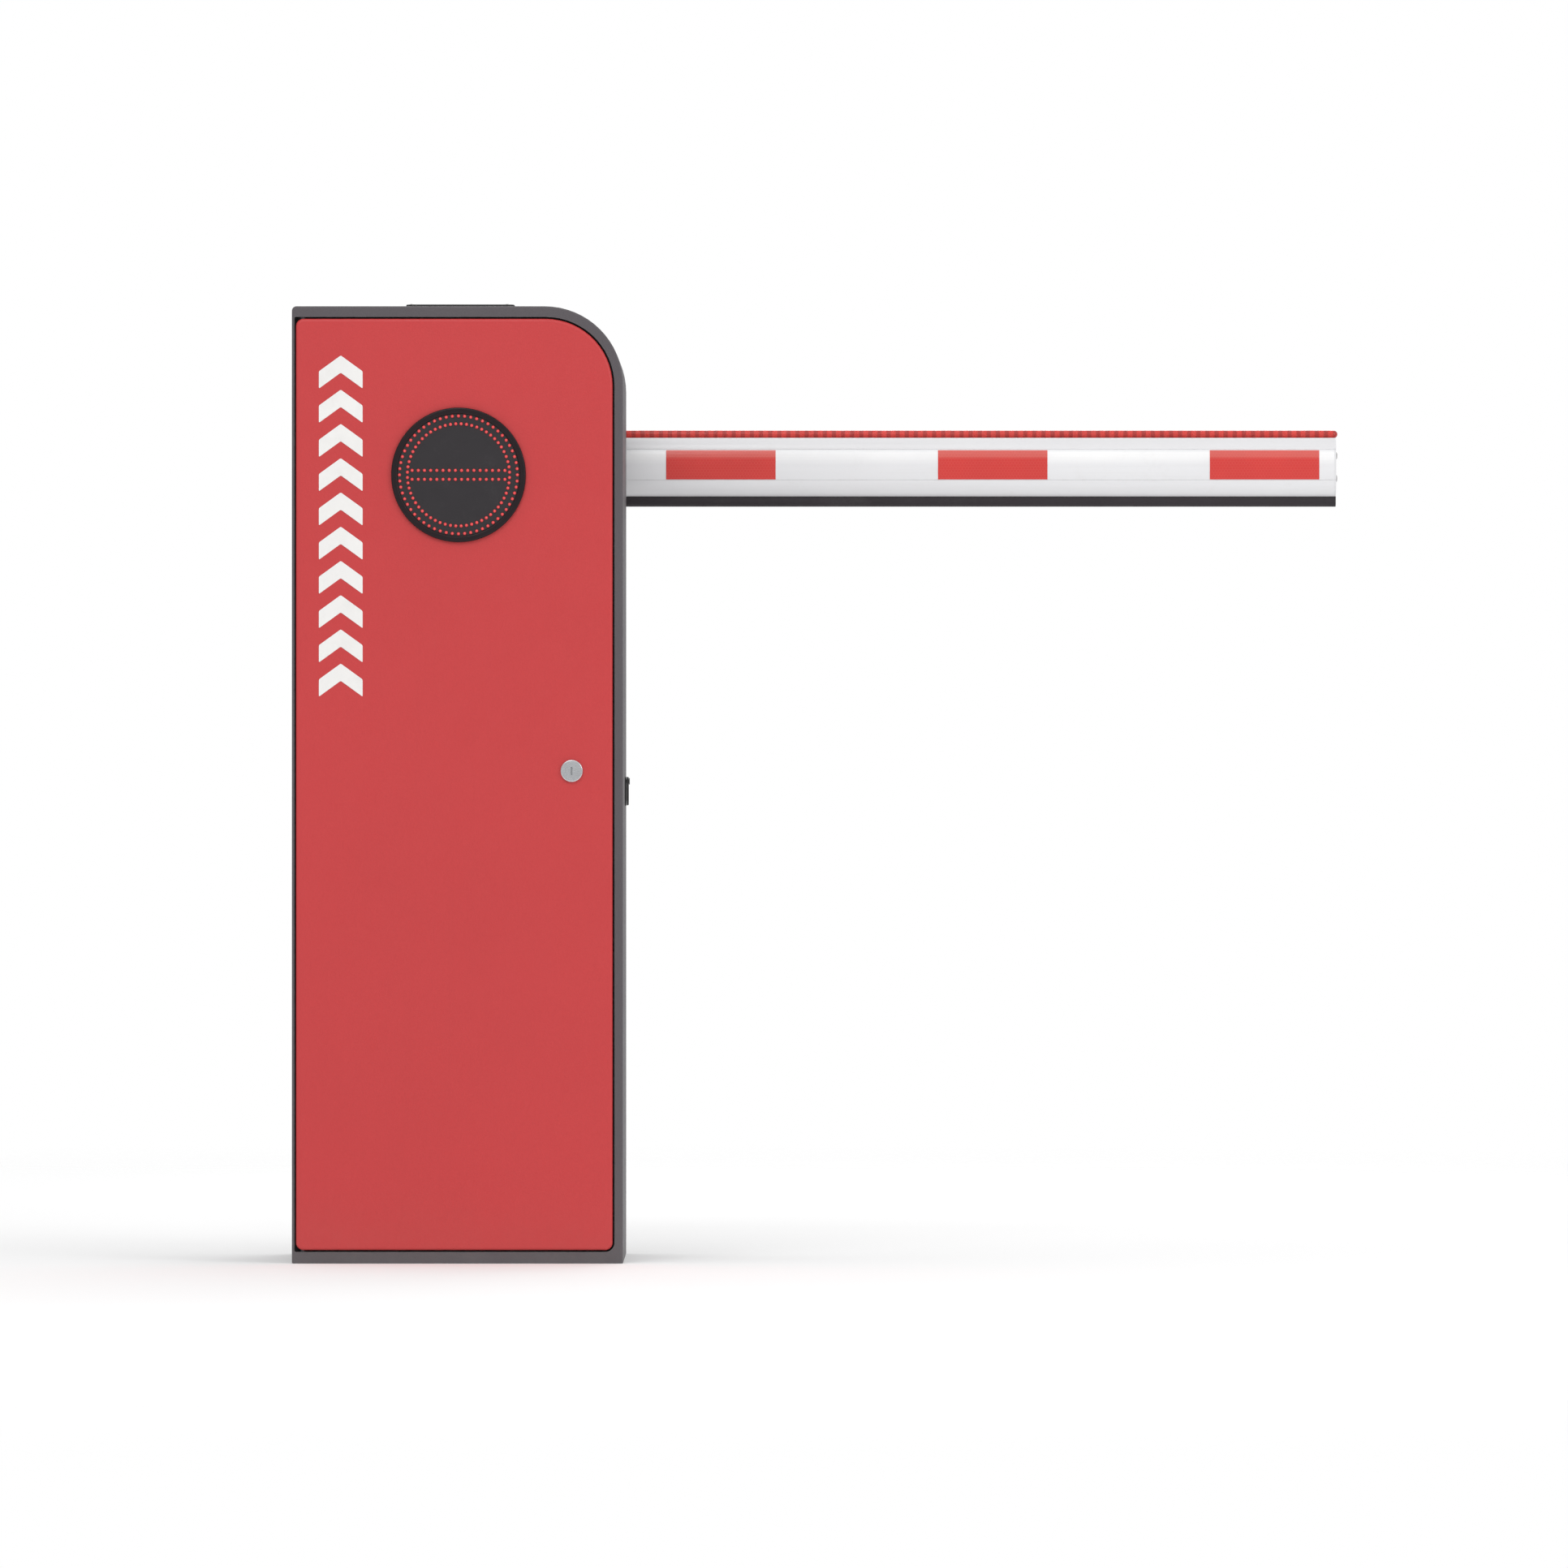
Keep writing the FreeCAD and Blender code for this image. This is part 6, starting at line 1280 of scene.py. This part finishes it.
# ------------------------------------------------------------------ wiring
def wiring():
    HEX7 = [(0, 0)] + [(2.1 * math.cos(math.radians(60 * k)), 2.1 * math.sin(math.radians(60 * k))) for k in range(6)]
    cols = ["cable_black", "cable_red", "cable_blue", "cable_white", "cable_brown", "cable_black", "cable_grey"]
    trunk = [(-132, 107, 121), (-100, 108, 119), (-60, 109, 119), (-20, 110, 119), (0, 112, 121), (9, 116, 130), (10.5, 118, 150), (10.5, 119, 200),
             (10.5, 119, 260), (12, 119, 284), (18, 119, 293), (30, 119, 294)]
    bundle("loom_main", trunk, [(a, b, c) for (a, b), c in zip(HEX7, cols)], 1.02, "cabinet", twist=0.03)
    # tails from the plugs into the trunk
    groups = {}
    for k in range(6):
        for j in range(3):
            xs = -146.0 + 23 * k + 3.3 + 5.2 * j
            mat = cols[(k * 3 + j) % 7]
            bm = groups.setdefault(mat, bmesh.new())
            dz = 1.2 * ((k + j) % 3 - 1)
            p = [(xs, 103, 138.0), (xs + 0.6, 103.2, 132.0), (xs + 3.5 + j, 105.0, 125.5 + dz), (xs + 9 + j, 108.0 + 0.4 * j, 121.5 + dz), (xs + 20, 109.0, 119.8 + dz), (xs + 32, 109.5, 119.5 + dz * 0.6)]
            if k == 5:
                p = p[:4] + [(xs + 16, 110.5, 121.0 + dz)]
            add_tube(bm, smooth_path(p, 2.5), 0.95, 8)
            # ferrule
            add_lathe(bm, (xs, 103, 137.2), (0, 0, -1), [(0, 1.5), (3.2, 1.45), (4.0, 1.0)], 10)
    for mat, bm in groups.items():
        finish_mesh("plug_tails_" + mat.replace("cable_", ""), bm, M[mat], "cabinet", angle=60)
    # drops from the terminals into the duct, and from the supply up into it
    groups = {}
    for k in range(10):
        mat = ["cable_brown", "cable_blue", "cable_earth", "cable_red", "cable_black", "cable_red", "cable_black", "cable_white", "cable_grey", "cable_blue"][k]
        bm = groups.setdefault(mat, bmesh.new())
        x = 78.0 + 7.2 * k + 3.2
        xs = 22.6 + 8.0 * round((x - 26.2) / 8.0) + 6.6
        add_tube(bm, smooth_path([(x, 118, 329), (x, 117.2, 323), ((x + xs) / 2, 116.2, 315.5), (xs, 116.0, 309.0), (xs, 116.5, 300.0)], 2.0), 1.15, 8)
        add_lathe(bm, (x, 118, 328.4), (0, 0, -1), [(0, 1.7), (3.0, 1.65), (3.8, 1.2)], 10)
    for k in range(7):
        if k == 5:
            continue
        mat = ["cable_brown", "cable_blue", "cable_earth", "cable_black", "cable_red", "", "cable_red"][k]
        bm = groups.setdefault(mat, bmesh.new())
        x = 36.0 + 10.86 * (k + 0.5)
        xs = 22.6 + 8.0 * round((x - 26.2) / 8.0) + 6.6
        add_tube(bm, smooth_path([(x, 109.0, 267.4), (x, 113.5, 268.4), (x + 0.3, 117.5, 272.0), (xs, 118.2, 277.5), (xs, 118.2, 288.0)], 1.6), 1.2, 8)
        add_lathe(bm, (x, 105.5, 267.0), (0, 1, 0.25), [(0, 1.4), (5.5, 1.7), (6.5, 1.7), (7.2, 1.2)], 10)
    # breaker feeds
    for k, (x, mat) in enumerate(((43.0, "cable_brown"), (61.0, "cable_blue"))):
        bm = groups.setdefault(mat, bmesh.new())
        xs = 22.6 + 8.0 * round((x - 26.2) / 8.0) + 6.6
        add_tube(bm, smooth_path([(x, 104, 319), (x, 104.5, 313.5), (xs, 110.0, 310.5), (xs, 112.5, 305.0), (xs, 113.0, 298.0)], 1.6), 1.5, 8)
    for mat, bm in groups.items():
        finish_mesh("rail_wires_" + mat.replace("cable_", ""), bm, M[mat], "cabinet", angle=60)

    # motor cable, down the corridor beside the controller
    motor = [(30, 48, 470.0), (30, 49, 458), (26, 62, 442), (17, 92, 428), (12, 112, 408), (3.6, 119, 380), (2.6, 121, 320), (2.6, 121, 240), (2.4, 120, 170), (-2, 116, 138), (-10, 110, 128), (-22, 104, 128), (-23.5, 103, 137.6)]
    cable("motor_cable", motor, 3.4, M["cable_grey"], "cabinet", 14, 4.0)
    # lamp cable of the boom: into the front end of the hollow shaft
    lamp = [(0, -50, 860), (0, -60, 860), (-3, -68, 859), (-16, -75, 854), (-42, -78, 842), (-68, -76, 828), (-92, -64, 806), (-124, -40, 768), (-158, -10, 726), (-169.5, 14, 690), (-170.8, 34, 640), (-170.8, 52, 560), (-170.6, 60, 470), (-169.5, 66, 380), (-168, 74, 300), (-164, 84, 200), (-158, 94, 140), (-150, 102, 124), (-138, 106, 120)]
    cable("boom_lamp_cable", lamp, 2.2, M["cable_black"], "cabinet", 12, 4.0)
    bm = bmesh.new()
    add_lathe(bm, (0, -58.0, 860), (0, -1, 0), [(0, 7.0), (1.5, 7.0), (1.5, 5.0), (4.5, 3.6), (5.5, 2.4)], 24)
    finish_mesh("shaft_cable_bush", bm, M["rubber"], "boom")
    # door lamp cable in three lengths: on the door, over the hinge, in the cabinet
    door = [(1.3, -128, 805), (1.3, -119.5, 805), (-2, -113.5, 804.6), (-16, -111, 803.5), (-44, -113.0, 801), (-68, -120, 797), (-88, -134, 790), (-106, -142.6, 782), (-120, -142.8, 775), (-127, -140.2, 768), (-130.2, -134.5, 760)]
    cable("door_lamp_cable", door, 2.2, M["cable_black"], "door", 12, 2.5)
    s, e = Vector((-152.0, -92.0, 752.0)), Vector((-130.2, -134.5, 760.0))
    pts = []
    for k in range(61):
        t = k / 60.0
        p = s.lerp(e, t)
        p.z -= 74 * (1 - (2 * t - 1) ** 2) ** 0.8
        pts.append(p)
    bm = bmesh.new()
    add_tube(bm, pts, 4.4, 14, corrugated=0.10)
    o = finish_mesh("door_hinge_conduit", bm, M["conduit"], None, angle=80)
    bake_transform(o)
    cab = [(-152, -92, 752), (-156.5, -84, 757), (-164, -64, 752), (-169.8, -36, 728), (-170.4, -6, 690), (-165.6, 22, 640), (-165.2, 42, 560), (-165.4, 52, 470), (-164.5, 58, 380), (-163, 66, 300), (-160, 78, 200), (-154, 90, 140), (-147, 100, 126), (-134, 105, 121)]
    cable("door_lamp_cable_inner", cab, 2.2, M["cable_black"], "cabinet", 12, 4.0)
    # strain relief at both ends of the conduit
    bm = bmesh.new()
    add_lathe(bm, (-152.6, -91.0, 753.2), Vector((0.5, -0.9, -1.2)), [(0, 4.2), (1.0, 5.4), (7.0, 5.4), (8.0, 4.8)], 18)
    finish_mesh("conduit_cuff_cabinet", bm, M["rubber"], "cabinet")
    bm = bmesh.new()
    add_lathe(bm, (-129.8, -135.2, 761.0), Vector((-0.5, 0.9, -1.2)), [(0, 4.2), (1.0, 5.4), (7.0, 5.4), (8.0, 4.8)], 18)
    finish_mesh("conduit_cuff_door", bm, M["rubber"], "door")
    # clips on the walls
    bm, scr = bmesh.new(), bmesh.new()
    for y, z in ((45.5, 600.0), (57.5, 500.0), (66.5, 330.0)):
        x = -169.6
        add_box(bm, (-175.4, y - 10, z - 5), (-173.9, y + 8, z + 5), 0.4, 1)
        add_ring(bm, (-168.2, y + 0.5, z - 5), (0, 0, 1), 5.2, 6.4, 10.0, 28, c=0.3)
        pan_screw(scr, (-173.9, y - 7.0, z), (1, 0, 0), 2.6, 1.5, 18)
    finish_mesh("wall_cable_clips", bm, M["black_plastic"], "cabinet")
    finish_mesh("wall_clip_screws", scr, M["bolt"], "cabinet")
    bm = bmesh.new()
    for (x, y, z), t in (((-104, -142.2, 783), (-1, -0.2, -0.4)), ((-58, -117.0, 799.2), (-1, -0.35, -0.15))):
        cable_tie(bm, (x, y, z), t, 2.4)
    finish_mesh("door_cable_ties", bm, M["tie"], "door")
    bm = bmesh.new()
    for x in (-86, -40):
        cable_tie(bm, (x, 108.6, 119.0), (1, 0, 0), 4.4)
    for z in (160, 205, 250):
        cable_tie(bm, (10.5, 119.0, z), (0, 0, 1), 3.6)
    for z in (350, 285):
        cable_tie(bm, (2.6, 121, z), (0, 0, 1), 3.5)
    cable_tie(bm, (-80, -70.8, 817.5), (-1, 0.5, -0.9), 2.3)
    finish_mesh("cable_ties", bm, M["tie"], "cabinet")
    # earth wires: base to plate, plate to the rail, cabinet to door
    cable("earth_wire_base", [(104, 92, 15.5), (109, 99, 17), (121, 112, 30), (127, 122, 62), (122, 124, 98), (113, 124, 114), (112, 124.8, 121.0)], 2.2, M["cable_earth"], "cabinet", 12, 3.0)
    cable("earth_wire_rail", [(84, 124.8, 122), (78, 123, 118), (66, 121, 108), (44, 119, 100), (24, 118, 106), (19.5, 119, 130), (19.6, 120, 180), (19.6, 120, 240), (19.8, 120, 276), (22, 120, 287), (30, 120, 289)], 1.9, M["cable_earth"], "cabinet", 12, 3.0)
    bm = bmesh.new()
    for x, y, z, ax, d in ((104, 92, 15.4, (0, 0, 1), (0.6, 0.8, 0.1)), (112, 124.9, 122, (0, -1, 0), (0.1, 0, -1)), (84, 124.9, 122, (0, -1, 0), (-0.8, 0, -0.5))):
        a = Vector(ax)
        add_ring(bm, Vector((x, y, z)) - a * 0.5, a, 3.1, 5.6, 0.9, 22)
    finish_mesh("earth_lugs", bm, M["bolt"], "cabinet")
    # earth bond of the door
    bm = bmesh.new()
    add_lathe(bm, (-132.0, -146.4, 560.0), (0, 1, 0), [(0, 4.6), (0.6, 3.6), (1.0, 2.6), (12.5, 2.6), (13.0, 2.0), (13.0, 0)], 20)
    hex_nut(bm, (-132.0, -144.6, 560.0), (0, 1, 0), 9.0, 3.8, 10, 6.0)
    add_ring(bm, (-132.0, -139.4, 560.0), (0, 1, 0), 2.7, 5.2, 0.9, 22)
    hex_nut(bm, (-132.0, -138.4, 560.0), (0, 1, 0), 9.0, 3.6, 30)
    finish_mesh("door_earth_stud", bm, M["brass"], "door")
    bm = bmesh.new()
    add_lathe(bm, (-175.4, -70.0, 560.0), (1, 0, 0), [(0, 4.6), (0.6, 3.6), (1.0, 2.6), (12.5, 2.6), (13.0, 2.0), (13.0, 0)], 20)
    hex_nut(bm, (-173.6, -70.0, 560.0), (1, 0, 0), 9.0, 3.8, 10, 6.0)
    add_ring(bm, (-168.6, -70.0, 560.0), (1, 0, 0), 2.7, 5.2, 0.9, 22)
    hex_nut(bm, (-167.6, -70.0, 560.0), (1, 0, 0), 9.0, 3.6, 30)
    finish_mesh("cabinet_earth_stud", bm, M["brass"], "cabinet")
    s, e = Vector((-160.0, -80.0, 552.0)), Vector((-134.0, -132.0, 552.0))
    pts = [s.lerp(e, k / 60.0) - Vector((0, 0, 70 * (1 - (2 * k / 60.0 - 1) ** 2) ** 0.8)) for k in range(61)]
    bm = bmesh.new()
    add_tube(bm, pts, 1.9, 12)
    o = finish_mesh("door_bond_wire", bm, M["cable_earth"], None, angle=70)
    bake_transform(o)
    cable("door_bond_tail", [(-134, -132, 552), (-133.4, -134.5, 556), (-132.3, -137.8, 558.5), (-132, -139.0, 560)], 1.9, M["cable_earth"], "door", 12, 1.5)
    cable("cabinet_bond_tail", [(-160, -80, 552), (-163.5, -77, 556), (-167, -72, 559), (-168.2, -70, 560)], 1.9, M["cable_earth"], "cabinet", 12, 1.5)


wiring()


# ------------------------------------------------------------------ base opening edging, door cover screws
def edging():
    bm = bmesh.new()
    ring = rounded([(-60, -20), (60, -20), (60, 60), (-60, 60)], 12.0, 8)
    n = len(ring)
    sect = [(-1.6, -1.0), (2.6, -1.0), (2.6, 0.0), (0.0, 0.0), (0.0, 6.2), (2.6, 6.2), (2.6, 7.4), (-1.6, 7.4)]
    rings = []
    for i in range(n):
        a, b = Vector(ring[i - 1]), Vector(ring[(i + 1) % n])
        t = (b - a).normalized()
        nrm = Vector((t.y, -t.x))
        rings.append([bm.verts.new((ring[i][0] + nrm.x * u, ring[i][1] + nrm.y * u, max(0.05, h))) for u, h in sect])
    for i in range(n):
        A, B = rings[i], rings[(i + 1) % n]
        for j in range(len(sect)):
            j2 = (j + 1) % len(sect)
            bm.faces.new((A[j], A[j2], B[j2], B[j]))
    bmesh.ops.remove_doubles(bm, verts=bm.verts, dist=0.001)
    finish_mesh("cable_entry_edging", bm, M["rubber"], "cabinet")
    bm = bmesh.new()
    for k in range(4):
        t = math.radians(45 + 90 * k)
        pan_screw(bm, (1.3 + 58 * math.cos(t), -120.5, 845 + 58 * math.sin(t)), (0, 1, 0), 3.4, 1.9, 22)
    finish_mesh("rear_cover_screws", bm, M["bolt"], "door")
    bm = bmesh.new()
    add_ring(bm, (1.3, -120.6, 805.0), (0, 1, 0), 2.3, 8.6, 1.8, 28, c=0.5)
    finish_mesh("rear_cover_grommet", bm, M["rubber"], "door")
    # plain washers on the frame's anchor holes
    bm = bmesh.new()
    for x in (-135, 135):
        for y in (-105, 105):
            add_ring(bm, (x, y, 6.02), (0, 0, 1), 8.6, 18.0, 3.0, 44, c=0.4)
    finish_mesh("anchor_washers", bm, M["bolt"], "cabinet")


edging()

# ------------------------------------------------------------------ stage, light, camera
def stage():
    bm = bmesh.new()
    bmesh.ops.create_circle(bm, cap_ends=True, segments=96, radius=30000.0)
    floor = finish_mesh("studio_floor", bm, bpy.data.materials.new("studio_floor"), None)
    floor.location = (0, 0, -0.0004)
    m = floor.data.materials[0]
    m.use_nodes = True
    t = m.node_tree
    t.nodes.clear()
    out = t.nodes.new("ShaderNodeOutputMaterial")
    d = t.nodes.new("ShaderNodeBsdfDiffuse")
    d.inputs[0].default_value = (0.93, 0.93, 0.93, 1)
    tr = t.nodes.new("ShaderNodeBsdfTransparent")
    mix = t.nodes.new("ShaderNodeMixShader")
    co = t.nodes.new("ShaderNodeTexCoord")
    ln = t.nodes.new("ShaderNodeVectorMath")
    ln.operation = "LENGTH"
    mp = t.nodes.new("ShaderNodeMapRange")
    mp.interpolation_type = "SMOOTHSTEP"
    mp.inputs[1].default_value = 1.2
    mp.inputs[2].default_value = 4.5
    t.links.new(co.outputs["Object"], ln.inputs[0])
    t.links.new(ln.outputs["Value"], mp.inputs[0])
    t.links.new(mp.outputs[0], mix.inputs[0])
    t.links.new(d.outputs[0], mix.inputs[1])
    t.links.new(tr.outputs[0], mix.inputs[2])
    t.links.new(mix.outputs[0], out.inputs[0])

    w = bpy.data.worlds.new("studio")
    bpy.context.scene.world = w
    w.use_nodes = True
    t = w.node_tree
    t.nodes.clear()
    out = t.nodes.new("ShaderNodeOutputWorld")
    cam_bg = t.nodes.new("ShaderNodeBackground")
    cam_bg.inputs[0].default_value = (1, 1, 1, 1)
    cam_bg.inputs[1].default_value = 1.0
    bg = t.nodes.new("ShaderNodeBackground")
    co = t.nodes.new("ShaderNodeTexCoord")
    sep = t.nodes.new("ShaderNodeSeparateXYZ")
    t.links.new(co.outputs["Generated"], sep.inputs[0])
    ramp = t.nodes.new("ShaderNodeValToRGB")
    e = ramp.color_ramp.elements
    e[0].position, e[0].color = 0.0, (0.72, 0.72, 0.72, 1)
    e[1].position, e[1].color = 1.0, (1.0, 1.0, 1.0, 1)
    for p, c in ((0.46, 0.80), (0.52, 0.66), (0.66, 0.80), (0.80, 1.0)):
        el = ramp.color_ramp.elements.new(p)
        el.color = (c, c, c, 1)
    mp = t.nodes.new("ShaderNodeMapRange")
    mp.inputs[1].default_value = -1
    mp.inputs[2].default_value = 1
    t.links.new(sep.outputs[2], mp.inputs[0])
    t.links.new(mp.outputs[0], ramp.inputs[0])
    t.links.new(ramp.outputs[0], bg.inputs[0])
    bg.inputs[1].default_value = 0.85
    lp = t.nodes.new("ShaderNodeLightPath")
    mix = t.nodes.new("ShaderNodeMixShader")
    t.links.new(lp.outputs["Is Camera Ray"], mix.inputs[0])
    t.links.new(bg.outputs[0], mix.inputs[1])
    t.links.new(cam_bg.outputs[0], mix.inputs[2])
    t.links.new(mix.outputs[0], out.inputs[0])

    def area(name, loc, target, size, power, colour=(1, 1, 1)):
        l = bpy.data.lights.new(name, "AREA")
        l.shape = "DISK"
        l.size = size
        l.energy = power
        l.color = colour
        o = bpy.data.objects.new(name, l)
        bpy.context.scene.collection.objects.link(o)
        o.location = loc
        o.rotation_mode = "QUATERNION"
        o.rotation_quaternion = (Vector(target) - Vector(loc)).to_track_quat("-Z", "Y")
        return o

    area("key_soft", (-0.7, -3.45, 3.7), (0.2, 0, 0.6), 2.4, 48)
    area("fill_soft", (3.0, -2.9, 1.9), (0.2, 0, 0.7), 2.2, 28)
    area("back_soft", (0.8, 3.2, 2.8), (0.2, 0, 0.6), 2.4, 34)

    cam = bpy.data.cameras.new("camera")
    cam.lens = 300.0
    cam.sensor_width = 36.0
    cam.clip_start, cam.clip_end = 0.1, 200.0
    o = bpy.data.objects.new("camera", cam)
    bpy.context.scene.collection.objects.link(o)
    o.location = (0.3502, -14.155, 0.5137)
    o.rotation_euler = (math.radians(90), 0, 0)
    bpy.context.scene.camera = o
    vs = bpy.context.scene.view_settings
    vs.view_transform = "Standard"
    vs.look = "None"
    vs.exposure = 0.0
    vs.gamma = 1.0


stage()
